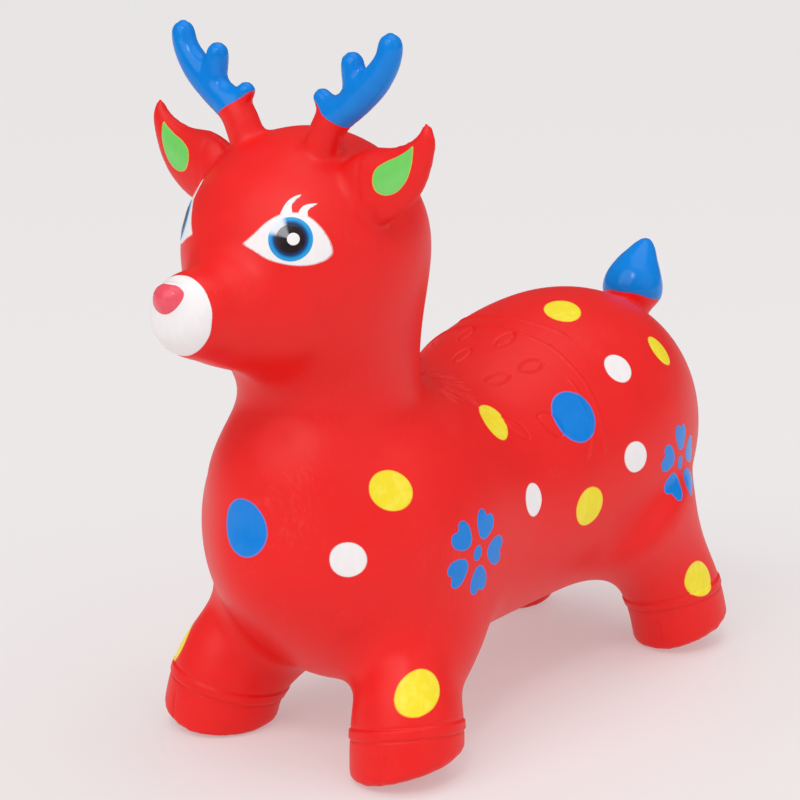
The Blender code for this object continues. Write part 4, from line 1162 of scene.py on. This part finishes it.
# %% Pieces with their lids
def part_of(name, face_indices):
    """A closed piece of the moulded skin, shaded as the whole skin is at its cut edges."""
    used = sorted({v for index in face_indices for v in moulded.polygons[index].vertices})
    new_index = {old: new for new, old in enumerate(used)}
    mesh = mesh_from(name, [moulded.vertices[v].co for v in used],
                     [[new_index[v] for v in moulded.polygons[index].vertices] for index in face_indices])
    shading = [moulded.vertex_normals[v].vector.copy() for v in used]
    work = bmesh.new()
    work.from_mesh(mesh)
    rim = [edge for edge in work.edges if edge.is_boundary]
    bmesh.ops.holes_fill(work, edges=rim, sides=0)
    bmesh.ops.recalc_face_normals(work, faces=work.faces)
    for face in work.faces:
        face.smooth = True
    for edge in rim:
        edge.smooth = False
    work.to_mesh(mesh)
    work.free()
    skin_faces = len(face_indices)
    normals = []
    for number, face in enumerate(mesh.polygons):
        for corner in face.vertices:
            normals.append(shading[corner] if number < skin_faces else face.normal)
    mesh.normals_split_custom_set(normals)
    mesh.materials.append(red_vinyl)
    return mesh


def keep_rest_place(mesh):
    """Where each point is at rest, which the materials' patterns read."""
    points = np.zeros(len(mesh.vertices) * 3, np.float32)
    mesh.vertices.foreach_get("co", points)
    keep_on_points(mesh, "rest_place", points)


by_label = {}
for index in range(len(moulded.polygons)):
    by_label.setdefault(labels.get(index, "body"), []).append(index)
bends = {label: (parent, body, at, at + way * bend) for label, at, way, _, _, bend, parent, body in CUTS}


def follow(thing, label):
    """Ride with the torso or head, or bend between the two bodies of a cut."""
    keep_rest_place(thing.data)
    if label in bends:
        parent, body, start, end = bends[label]
        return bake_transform(thing, parent, body, start=tuple(start), end=tuple(end))
    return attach(thing, label)


STANDS_FOR = {
    "body": ["torso_skin"],
    "head": ["head_skin", "neck_flex_band"],
    "tail": ["tail_foot", "tail_tip"],
}
for side in ("left", "right"):
    STANDS_FOR[f"{side}_ear"] = [f"ear_root_{side}", f"ear_{side}"]
    STANDS_FOR[f"{side}_antler"] = [f"antler_foot_{side}", f"antler_{side}"]
    for end in ("front", "rear"):
        STANDS_FOR[f"{end}_{side}_leg"] = [f"hip_flex_band_{end}_{side}", f"leg_{end}_{side}"]
skins = {}
for label, faces in by_label.items():
    piece = new_object(f"{label}_skin_vinyl", part_of(f"{label}_skin_vinyl", faces))
    skins[label] = piece
    follow(piece, "torso" if label == "body" else label)
    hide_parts(*STANDS_FOR[label])
    print(piece.name, len(piece.data.polygons), "faces")

# %% [markdown]
# ## Paint
# Paint is sprayed on the blown-up skin through masks. Each mark is a thin film that follows the relief
# under it. A Geometry Nodes tree copies a flat shape onto one point for each mark, turns it to face the
# way the mask was held, drops it on the skin along that way, and closes it to a film with a soft edge.

# %% Geometry Nodes: paint films
skin_target = new_object("skin_target", moulded.copy())
skin_target.hide_render = True


FILM_RIM_SINK = 0.00005     # the rim lies this far under the skin, so that no gap shows
FILM_WELD = 0.000003


def film_nodes(tree, source, lift_value, sink_value, material_value):
    """Top and bottom of a film over a surface with a from_edge attribute, joined at their rim."""
    from_edge = add_node(tree, "GeometryNodeInputNamedAttribute", {"Name": "from_edge"}, data_type="FLOAT")
    crown = add_node(
        tree, "ShaderNodeMapRange", {"Value": (from_edge, "Attribute")}, interpolation_type="SMOOTHSTEP")
    normal = add_node(tree, "GeometryNodeInputNormal")
    layers = []
    for reach in (lift_value, sink_value):
        level = maths(tree, "SUBTRACT", maths(tree, "MULTIPLY", (crown, "Result"), reach), FILM_RIM_SINK)
        offset = add_node(tree, "ShaderNodeVectorMath", {0: normal, "Scale": level}, operation="SCALE")
        layers.append(add_node(tree, "GeometryNodeSetPosition", {"Geometry": source, "Offset": offset}))
    under = add_node(tree, "GeometryNodeFlipFaces", {0: layers[1]})
    both = add_node(tree, "GeometryNodeJoinGeometry", {0: under})
    wire(tree, layers[0], both, 0)
    weld = add_node(tree, "GeometryNodeMergeByDistance", {0: both, "Distance": FILM_WELD})
    soft = add_node(tree, "GeometryNodeSetShadeSmooth", {0: weld})
    whole = add_node(tree, "GeometryNodeRealizeInstances", {0: soft})
    return add_node(tree, "GeometryNodeSetMaterial", {"Geometry": whole, "Material": material_value})


def vector_maths(tree, operation, inputs):
    return add_node(tree, "ShaderNodeVectorMath", inputs, operation=operation)


marks_tree, enter, leave = node_group("painted_marks", "GeometryNodeTree", (
    GEOMETRY_IN, ("Mask", "Object", None), ("Skin", "Object", None), ("Lift", "Float", 0.00025),
    ("Sink", "Float", -0.0004), ("Reach", "Float", 0.03), ("Wobble", "Float", 0.0008),
    ("Paint", "Material", None),
), (GEOMETRY_OUT,))
mask_info = add_node(marks_tree, "GeometryNodeObjectInfo", {"Object": (enter, "Mask")})
skin_info = add_node(marks_tree, "GeometryNodeObjectInfo", {"Object": (enter, "Skin")})
attribute_nodes = [
    add_node(marks_tree, "GeometryNodeInputNamedAttribute", {"Name": name}, data_type="FLOAT_VECTOR")
    for name in ("facing", "across", "half_size")
]
facing, across, size = [(node, "Attribute") for node in attribute_nodes]
turned_to = add_node(
    marks_tree, "FunctionNodeAxesToRotation", {"Primary Axis": facing, "Secondary Axis": across},
    primary_axis="Z", secondary_axis="X")
copies = add_node(marks_tree, "GeometryNodeInstanceOnPoints", {
    "Points": (enter, "Geometry"), "Instance": (mask_info, "Geometry"), "Rotation": turned_to, "Scale": size,
})
flat = add_node(marks_tree, "GeometryNodeRealizeInstances", {0: copies})
where = add_node(marks_tree, "GeometryNodeInputPosition")
waver = add_node(marks_tree, "ShaderNodeTexNoise", {"Vector": where, "Scale": 75.0, "Detail": 1.0})
waver_mid = vector_maths(marks_tree, "SUBTRACT", {0: (waver, "Color"), 1: (0.5, 0.5, 0.5)})
waver_size = vector_maths(marks_tree, "SCALE", {0: waver_mid, "Scale": (enter, "Wobble")})
wavered = add_node(marks_tree, "GeometryNodeSetPosition", {"Geometry": flat, "Offset": waver_size})
start_offset = vector_maths(marks_tree, "SCALE", {0: facing, "Scale": (enter, "Reach")})
start_at = vector_maths(marks_tree, "ADD", {0: where, 1: start_offset})
toward = vector_maths(marks_tree, "SCALE", {0: facing, "Scale": -1.0})
drop = add_node(marks_tree, "GeometryNodeRaycast", {
    "Target Geometry": (skin_info, "Geometry"), "Source Position": start_at, "Ray Direction": toward,
    "Ray Length": 0.2,
})
laid = add_node(marks_tree, "GeometryNodeSetPosition", {
    "Geometry": wavered, "Selection": (drop, "Is Hit"), "Position": (drop, "Hit Position"),
})
film = film_nodes(marks_tree, laid, (enter, "Lift"), (enter, "Sink"), (enter, "Paint"))
wire(marks_tree, film, leave, 0)
lay_out(marks_tree)

# %% Masks: flat shapes of unit size
RIM_SHARES = (0.0, 0.025, 0.055, 0.10)


def mask_object(name, outline, rings=15):
    """Rings from the outline to its middle. from_edge rises from 0 at the outline to 1 just inside it."""
    outline = np.array(outline, dtype=float)
    after = np.roll(outline, -1, axis=0)
    if (outline[:, 0] * after[:, 1] - outline[:, 1] * after[:, 0]).sum() < 0:
        outline = outline[::-1]
    middle = outline.mean(axis=0)
    shares = list(RIM_SHARES) + list(np.linspace(RIM_SHARES[-1], 1, rings)[1:-1])
    count = len(outline)
    points, edge = [], []
    for share in shares:
        points.extend([(*(p * (1 - share) + middle * share), 0.0) for p in outline])
        edge.extend([min(1.0, share / RIM_SHARES[-1])] * count)
    points.append((*middle, 0.0))
    edge.append(1.0)
    faces = ring_faces(len(shares), count)
    last = (len(shares) - 1) * count
    faces.extend([(last + k, last + (k + 1) % count, len(points) - 1) for k in range(count)])
    mesh = mesh_from(name, points, faces)
    keep_on_points(mesh, "from_edge", edge, "FLOAT")
    keep_on_points(mesh, "mask_place", np.array(points, dtype=np.float32).ravel())
    thing = new_object(name, mesh)
    thing.hide_render = True
    return thing


def mask_pair(name, outline, rings=15):
    """The mask for the deer's left side and its mirror image for the right side."""
    flipped = np.array(outline, dtype=float) * (-1, 1)
    return mask_object(f"left_{name}", outline, rings), mask_object(f"right_{name}", flipped, rings)


def rounded_outline(corners, count=72):
    """A closed smooth outline through corner points."""
    corners = np.array(corners, dtype=float)
    wrapped = np.vstack([corners[-3:], corners, corners[:3]])
    rows = np.hstack([wrapped, np.zeros((len(wrapped), 2))])
    steps = np.linalg.norm(np.diff(wrapped, axis=0), axis=1)
    knots = np.concatenate(([0.0], np.cumsum(steps)))
    places = np.linspace(knots[3], knots[3 + len(corners)], count, endpoint=False) / knots[-1]
    return curve_through(rows, places)[0][:, :2]


disc_outline = [(math.cos(t), math.sin(t)) for t in np.linspace(0, 2 * math.pi, 72, False)]
disc_mask = mask_object("disc_mask", disc_outline)
fine_disc_mask = mask_object("fine_disc_mask", rounded_outline(disc_outline[::6], 132), 32)
petal_mask = mask_object("petal_mask", rounded_outline((
    (0.00, -1.00), (0.34, -0.90), (0.70, -0.48), (0.94, 0.06), (0.96, 0.52), (0.72, 0.90), (0.36, 0.96),
    (0.10, 0.74), (-0.10, 0.84), (-0.42, 1.02), (-0.78, 0.86), (-0.96, 0.44), (-0.90, -0.04), (-0.66, -0.52),
    (-0.32, -0.90),
)), 11)


def film_piece(cage, name, paint, label):
    """The film that a cage makes, with its one material, moving with the skin under it."""
    made = evaluated_mesh(cage, name)
    made.materials.clear()
    made.materials.append(paint)
    made.polygons.foreach_set("material_index", np.zeros(len(made.polygons), dtype=np.int32))
    for extra in ("facing", "across", "half_size", "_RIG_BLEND", "custom_normal"):
        if extra in made.attributes:
            made.attributes.remove(made.attributes[extra])
    piece = new_object(name, made)
    follow(piece, label)
    return made


def painted(name, marks, mask, paint, label, lift=0.00025, wobble=0.0008, reach=0.03):
    """A piece of paint: marks are (middle, facing, across, half width, half height)."""
    mesh = mesh_from(name, [mark[0] for mark in marks], [])
    facings, acrosses, sizes = [], [], []
    for _, way, side, half_width, half_height in marks:
        way = Vector(way).normalized()
        side = (Vector(side) - way * way.dot(Vector(side))).normalized()
        facings.extend(way)
        acrosses.extend(side)
        sizes.extend((half_width, half_height, 1.0))
    for attribute, values in (("facing", facings), ("across", acrosses), ("half_size", sizes)):
        keep_on_points(mesh, attribute, values)
    cage = with_tree(new_object(name, mesh), marks_tree, {
        "Mask": mask, "Skin": skin_target, "Lift": lift, "Wobble": wobble, "Reach": reach, "Paint": paint,
    })
    made = film_piece(cage, name, paint, label)
    print(name, len(marks), "marks,", len(made.polygons), "faces")


# %% Spots
def spot(middle, way, half_width, half_height, spin=0.0):
    """A mark at a point, its width turned by spin degrees from level."""
    way = Vector(way).normalized()
    level = Z_AXIS.cross(way).normalized()
    up = way.cross(level)
    turn = math.radians(spin)
    return Vector(middle), way, level * math.cos(turn) + up * math.sin(turn), half_width, half_height


def far_side(mark, back=0.0):
    """The same mark on the deer's right side."""
    middle, way, side, half_width, half_height = mark
    shifted = other_side(middle) + Y_AXIS * back
    return shifted, other_side(way), -other_side(side), half_width, half_height


yellow_left = [
    spot((0.0299, 0.1193, 0.2917), (0.28, -0.14, 0.95), 0.0188, 0.0157, 51),
    spot((0.0820, 0.1831, 0.2550), (0.79, 0.17, 0.59), 0.0149, 0.0117, -72),
    spot((0.0685, -0.0284, 0.2351), (0.67, 0.11, 0.74), 0.0188, 0.0136, 54),
    spot((0.0826, -0.1715, 0.2155), (0.78, -0.48, 0.40), 0.0171, 0.0150, -29),
    spot((0.1062, 0.0482, 0.1582), (1.00, -0.08, -0.05), 0.0172, 0.0158, 16),
]
white_left = [
    spot((0.0854, 0.1164, 0.2527), (0.79, -0.10, 0.61), 0.0147, 0.0130, -4),
    spot((0.1100, 0.1062, 0.1865), (0.99, -0.07, 0.10), 0.0154, 0.0129, -14),
    spot((0.1012, -0.0224, 0.1786), (0.97, 0.07, 0.21), 0.0134, 0.0117, 65),
    spot((0.0688, -0.2021, 0.1697), (0.69, -0.73, 0.02), 0.0140, 0.0133, -19),
]
blue_left = [spot((0.0879, 0.0506, 0.2267), (0.83, -0.22, 0.51), 0.0223, 0.0208, -67)]
chest_blue = spot((0.0018, -0.2346, 0.1883), (0.03, -0.99, 0.13), 0.0220, 0.0192, -64)
yellow_right = [far_side(mark, back) for mark, back in zip(yellow_left[1:], (0.0, 0.0, 0.045, 0.0))]
white_right = [far_side(mark, back) for mark, back in zip(white_left, (0.0, 0.0, 0.0, 0.050))]
painted("yellow_spots", yellow_left + yellow_right, disc_mask, yellow_paint, "torso")
painted("white_spots", white_left + white_right, disc_mask, white_paint, "torso")
blue_marks = [*blue_left, far_side(blue_left[0]), chest_blue]
painted("blue_spots", blue_marks, fine_disc_mask, blue_paint, "torso")
front_knee = spot((0.1091, -0.1743, 0.0705), (0.63, -0.44, 0.65), 0.0201, 0.0156, 41)
rear_knee = spot((0.1210, 0.1910, 0.0661), (0.98, -0.10, 0.18), 0.0184, 0.0151, -30)
FAR_KNEE_SHIFTS = {"front": Vector((0, 0.004, -0.014)), "rear": Vector()}
for end, mark in (("front", front_knee), ("rear", rear_knee)):
    middle, *rest = far_side(mark)
    for side, one in (("left", mark), ("right", (middle + FAR_KNEE_SHIFTS[end], *rest))):
        leg = f"{end}_{side}_leg"
        painted(f"{leg}_spot", [one], disc_mask, yellow_paint, leg)


# %% Flowers
def flower(middle, way, phase, stretch, radius=0.0208, petal_width=0.0118, petal_length=0.0109):
    """Five petals round a middle, each pointing away from it. A mask held askew stretches the ring."""
    way = Vector(way).normalized()
    level = Z_AXIS.cross(way).normalized()
    up = way.cross(level)
    petals = []
    for k in range(5):
        turn = math.radians(phase + 72 * k)
        out = level * math.cos(turn) + up * math.sin(turn)
        place = Vector(middle) + (level * math.cos(turn) * stretch + up * math.sin(turn)) * radius
        petals.append((place, way, out.cross(way), petal_width, petal_length))
    return petals


SHOULDER_FLOWER = ((0.1121, -0.1082, 0.1598), (1.0, -0.02, 0.04), 62)
HAUNCH_FLOWER = ((0.1090, 0.1765, 0.1670), (0.980, 0.18, 0.08), 86)
FLOWER_STRETCH = 1.12
petals, cores = [], []
for middle, way, phase in (SHOULDER_FLOWER, HAUNCH_FLOWER):
    left = flower(middle, way, phase, FLOWER_STRETCH)
    core = spot(middle, way, 0.0060, 0.0050, phase)
    petals += left + [far_side(mark) for mark in left]
    cores += [core, far_side(core)]
painted("flower_petals", petals, petal_mask, blue_paint, "torso", wobble=0.0010)
painted("flower_cores", cores, disc_mask, blue_paint, "torso")

# %% [markdown]
# ## The face and the ears
# The eye is sprayed in four layers: white with two lashes, blue iris, black pupil and a white gleam. The
# green of the ear is one drop-shaped mask. Every layer lies a little higher than the one below it.

# %% Eyes
EYE_AT = Vector((0.0470, -0.2345, 0.3995))
EYE_WAY = Vector((0.564, -0.780, 0.272))
# Outlines in millimetres on the eye's own plane: outward, up
EYE_WHITE = (
    (-34.6, -2.7), (-31.5, 0.2), (-27.0, 4.0), (-17.4, 12.6), (-7.2, 18.0), (-0.4, 19.2), (6.4, 18.7),
    (12.5, 16.2), (19.3, 10.7), (25.5, 2.7), (28.9, -4.6), (29.3, -9.4), (26.2, -13.2), (18.3, -17.0),
    (7.5, -18.7), (-4.6, -17.6), (-16.9, -14.0), (-26.7, -8.0), (-32.0, -4.8),
)
NEAR_LASH = (
    (-8.0, 16.5), (-6.5, 20.5), (-4.0, 25.0), (0.6, 29.3), (6.6, 31.3), (2.9, 28.2), (0.2, 23.5), (0.2, 16.5),
)
FAR_LASH = (
    (4.0, 16.5), (5.2, 20.0), (7.6, 22.9), (12.3, 24.6), (17.6, 24.8), (13.7, 22.2), (11.1, 19.3),
    (11.0, 15.0),
)
MILLIMETRE = 0.001
FAR_EYE_TURN = math.radians(-16)     # the far eye sits a little farther round the head
HEAD_AXIS = Vector((0, -0.180, 0))
eye_level = Z_AXIS.cross(EYE_WAY).normalized()
iris_at = EYE_AT + eye_level * -0.0003
gleam_at = EYE_AT + eye_level * 0.0017


def turned_round_head(mark, angle):
    middle, way, side, half_width, half_height = mark
    turn = Matrix.Rotation(angle, 3, "Z")
    return turn @ (middle - HEAD_AXIS) + HEAD_AXIS, turn @ way, turn @ side, half_width, half_height


def both_eyes(name, mark, masks, paint, lift, wobble=0.0002):
    far_mark = turned_round_head(far_side(mark), FAR_EYE_TURN)
    for side, one, mask in zip(("left", "right"), (mark, far_mark), masks):
        painted(f"{side}_{name}", [one], mask, paint, "head", lift, wobble)


eye_frame = (EYE_AT, EYE_WAY, eye_level, MILLIMETRE, MILLIMETRE)
white_masks = mask_pair("eye_white_mask", rounded_outline(EYE_WHITE, 120), 20)
both_eyes("eye_white", eye_frame, white_masks, white_paint, 0.00025)
for name, outline in (("near_lash", NEAR_LASH), ("far_lash", FAR_LASH)):
    lash_masks = mask_pair(f"{name}_mask", rounded_outline(outline, 60), 6)
    both_eyes(name, eye_frame, lash_masks, white_paint, 0.00027)
discs = (disc_mask, disc_mask)
both_eyes("iris", (iris_at, EYE_WAY, eye_level, 0.0163, 0.0161), discs, iris_paint, 0.00040)
both_eyes("pupil", (iris_at, EYE_WAY, eye_level, 0.0109, 0.0107), discs, black_paint, 0.00052)
both_eyes("gleam", (gleam_at, EYE_WAY, eye_level, 0.0047, 0.0046), discs, white_paint, 0.00064)

# %% Ears and nose
EAR_PATCH_AT = Vector((0.0980, -0.1900, 0.4410))
# Outward, up in millimetres from the middle of the patch
EAR_DROP = (
    (16.5, 22.5), (17.6, 14.0), (15.8, 5.0), (12.0, -3.0), (3.5, -11.0), (-4.0, -12.8), (-11.0, -10.5),
    (-14.2, -3.0), (-12.8, 4.0), (-6.0, 9.5), (5.0, 14.8), (12.5, 19.4),
)
ear_masks = mask_pair("ear_mask", rounded_outline(EAR_DROP, 90), 12)
ear_mark = (EAR_PATCH_AT, -Y_AXIS, X_AXIS, MILLIMETRE, MILLIMETRE)
for side, mark, mask in zip(("left", "right"), (ear_mark, far_side(ear_mark)), ear_masks):
    painted(f"{side}_ear_green", [mark], mask, green_paint, f"{side}_ear", wobble=0.0006)
NOSE_OUTLINE = (
    (0, 10.5), (5.5, 10.2), (10.0, 8.2), (13.2, 4.6), (13.6, 0.5), (11.0, -5.0), (6.0, -9.3), (0, -10.8),
    (-6.0, -9.3), (-11.0, -5.0), (-13.6, 0.5), (-13.2, 4.6), (-10.0, 8.2), (-5.5, 10.2),
)
nose_mask = mask_object("nose_mask", rounded_outline(NOSE_OUTLINE, 80), 16)
nose_mark = (Vector(NOSE_AT), Vector((0, -1, 0.12)), X_AXIS, MILLIMETRE, MILLIMETRE)
painted("nose_pink", [nose_mark], nose_mask, pink_paint, "head", 0.00045, 0.0004, 0.05)

# %% [markdown]
# ## Sprayed ends: snout, antlers and tail tip
# These ends were held in the spray whole, behind a straight mask. The skin past the mask's edge is
# copied and turned into a film with the same tree that the marks end in, so its border follows the form
# exactly. Three narrow cuts inside the border give the film its soft edge.

# %% Films over whole ends
film_tree, enter, leave = node_group("sprayed_end", "GeometryNodeTree", (
    GEOMETRY_IN, ("Lift", "Float", 0.00025), ("Sink", "Float", -0.0004), ("Paint", "Material", None),
), (GEOMETRY_OUT,))
film = film_nodes(film_tree, (enter, "Geometry"), (enter, "Lift"), (enter, "Sink"), (enter, "Paint"))
wire(film_tree, film, leave, 0)
lay_out(film_tree)
EDGE_WIDTH = 0.0010
EDGE_SHARES = (0.35, 0.7, 1.0)
ON_PLANE = 1e-6


def swing(place, seed):
    """How the edge of a hand-held mask wanders, from place to place."""
    level = math.sin(place.x * 310 + seed) + math.sin(place.y * 270 + 2 * seed)
    return level + math.sin(place.z * 410 + seed)


def sprayed_end(name, source, at, way, paint, label, waver=0.0006, seed=0):
    """A film over the source skin past a plane, which is bent a little, as a hand-held mask is."""
    way = Vector(way).normalized()
    work = bmesh.new()
    work.from_mesh(source)
    for vert in work.verts:
        vert.co += way * swing(vert.co, seed) * waver / 2
    for share in (0.0, *EDGE_SHARES):
        geom = [*work.verts, *work.edges, *work.faces]
        bmesh.ops.bisect_plane(
            work, geom=geom, dist=CUT_TOLERANCE, plane_co=at + way * EDGE_WIDTH * share, plane_no=way,
            clear_inner=share == 0)
    lids = [face for face in work.faces if all(abs((v.co - at).dot(way)) < ON_PLANE for v in face.verts)]
    bmesh.ops.delete(work, geom=lids, context="FACES")
    edge = [min(1.0, max(0.0, (vert.co - at).dot(way) / EDGE_WIDTH)) for vert in work.verts]
    for vert in work.verts:
        vert.co -= way * swing(vert.co, seed) * waver / 2
    mesh = bpy.data.meshes.new(name)
    work.to_mesh(mesh)
    work.free()
    mesh.materials.clear()
    keep_on_points(mesh, "from_edge", edge, "FLOAT")
    cage = with_tree(new_object(name, mesh), film_tree, {"Paint": paint})
    made = film_piece(cage, name, paint, label)
    print(name, len(made.polygons), "faces")


SNOUT_AT, SNOUT_WAY = Vector((0, -0.2925, 0.353)), (0, -1, 0.0945)
ANTLER_BLUE_FROM, TAIL_BLUE_FROM = 0.0305, 0.0295
sprayed_end("snout_white", skins["head"].data, SNOUT_AT, SNOUT_WAY, white_paint, "head", 0.0003)
for side, sign in (("left", 1), ("right", -1)):
    at = Vector((sign * ANTLER_FOOT.x, ANTLER_FOOT.y, ANTLER_FOOT.z))
    way = Vector((sign * antler_way.x, 0, antler_way.z))
    sprayed_end(f"{side}_antler_blue", skins[f"{side}_antler"].data, at + way * ANTLER_BLUE_FROM, way,
                blue_paint, f"{side}_antler", 0.0007, sign)
sprayed_end("tail_blue", skins["tail"].data, TAIL_ROOT + TAIL_UP * TAIL_BLUE_FROM, TAIL_UP - Y_AXIS * 0.12,
            blue_paint, "tail")

# %% [markdown]
# ## The air valve
# Under the belly a soft flanged seat is welded into the skin, and a push-in plug with a pull tab closes
# it. Both are turned shapes with rounded edges, so their outlines are spun round the valve's axis.

# %% Valve
VALVE_TUBE_LENGTH = 0.015
PLUG_LOW, TAB_SINK = -0.0066, 0.0008
valve_low, valve_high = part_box("valve_seat")
VALVE_AT = Vector(((valve_low.x + valve_high.x) / 2, (valve_low.y + valve_high.y) / 2,
                   valve_high.z - VALVE_TUBE_LENGTH))


def spun(name, outline, place, steps=64):
    """A closed outline of radius and height, spun round the upright axis."""
    angles = np.linspace(0, 2 * math.pi, steps, False)
    work = bmesh.new()
    columns = []
    poles = {}
    for angle in angles:
        column = []
        for number, (radius, height) in enumerate(outline):
            if radius == 0:
                if number not in poles:
                    poles[number] = work.verts.new(place + Z_AXIS * height)
                column.append(poles[number])
            else:
                around_axis = Vector((radius * math.cos(angle), radius * math.sin(angle), height))
                column.append(work.verts.new(place + around_axis))
        columns.append(column)
    for k in range(steps):
        one, two = columns[k], columns[(k + 1) % steps]
        for n in range(len(outline)):
            after = (n + 1) % len(outline)
            corners = []
            for vert in (one[n], one[after], two[after], two[n]):
                if vert not in corners:
                    corners.append(vert)
            if len(corners) > 2:
                work.faces.new(corners)
    bmesh.ops.recalc_face_normals(work, faces=work.faces)
    mesh = bpy.data.meshes.new(name)
    work.to_mesh(mesh)
    work.free()
    return mesh


def rounded(thing, width, segments):
    bevel = thing.modifiers.new("rounded", "BEVEL")
    bevel.width = width
    bevel.segments = segments
    bevel.limit_method = "ANGLE"
    return thing


SEAT_OUTLINE = (
    (0.0040, VALVE_TUBE_LENGTH), (0.0070, VALVE_TUBE_LENGTH), (0.0070, -0.0003), (0.0150, -0.0003),
    (0.0150, -0.0023), (0.0140, -0.0033), (0.0115, -0.0033), (0.0110, -0.0029), (0.0100, -0.0029),
    (0.0095, -0.0033), (0.0040, -0.0033),
)
PLUG_OUTLINE = (
    (0.0, 0.0134), (0.0026, 0.0134), (0.0037, 0.0077), (0.0037, -0.0036), (0.0085, -0.0036),
    (0.0085, -0.0056), (0.0075, PLUG_LOW), (0.0, PLUG_LOW),
)
TAB_SIZE = (0.0090, 0.0022, 0.0043)
for name, outline in (("valve_seat", SEAT_OUTLINE), ("valve_plug", PLUG_OUTLINE)):
    cage = rounded(new_object(f"{name}_vinyl", spun(f"{name}_vinyl", outline, VALVE_AT)), 0.0004, 2)
    if name == "valve_plug":
        tab = bmesh.new()
        bmesh.ops.create_cube(tab, size=1)
        bmesh.ops.scale(tab, verts=tab.verts, vec=TAB_SIZE)
        tab_middle = VALVE_AT + Z_AXIS * (PLUG_LOW + TAB_SINK - TAB_SIZE[2] / 2)
        bmesh.ops.translate(tab, verts=tab.verts, vec=tab_middle)
        tab.from_mesh(cage.data)
        tab.to_mesh(cage.data)
        tab.free()
    made = evaluated_mesh(cage, f"{name}_vinyl")
    for face in made.polygons:
        face.use_smooth = True
    made.materials.append(valve_vinyl)
    piece = new_object(f"{name}_vinyl", made)
    follow(piece, "plug" if name == "valve_plug" else "torso")
    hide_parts(name)
    print(piece.name, len(made.polygons), "faces")

# %% [markdown]
# ## Finish
# The masks and the drop target have done their work and are removed.

# %% Clean up and finish
for thing in list(bpy.context.scene.objects):
    if thing.name.endswith("_mask") or thing.name == "skin_target":
        bpy.data.objects.remove(thing, do_unlink=True)
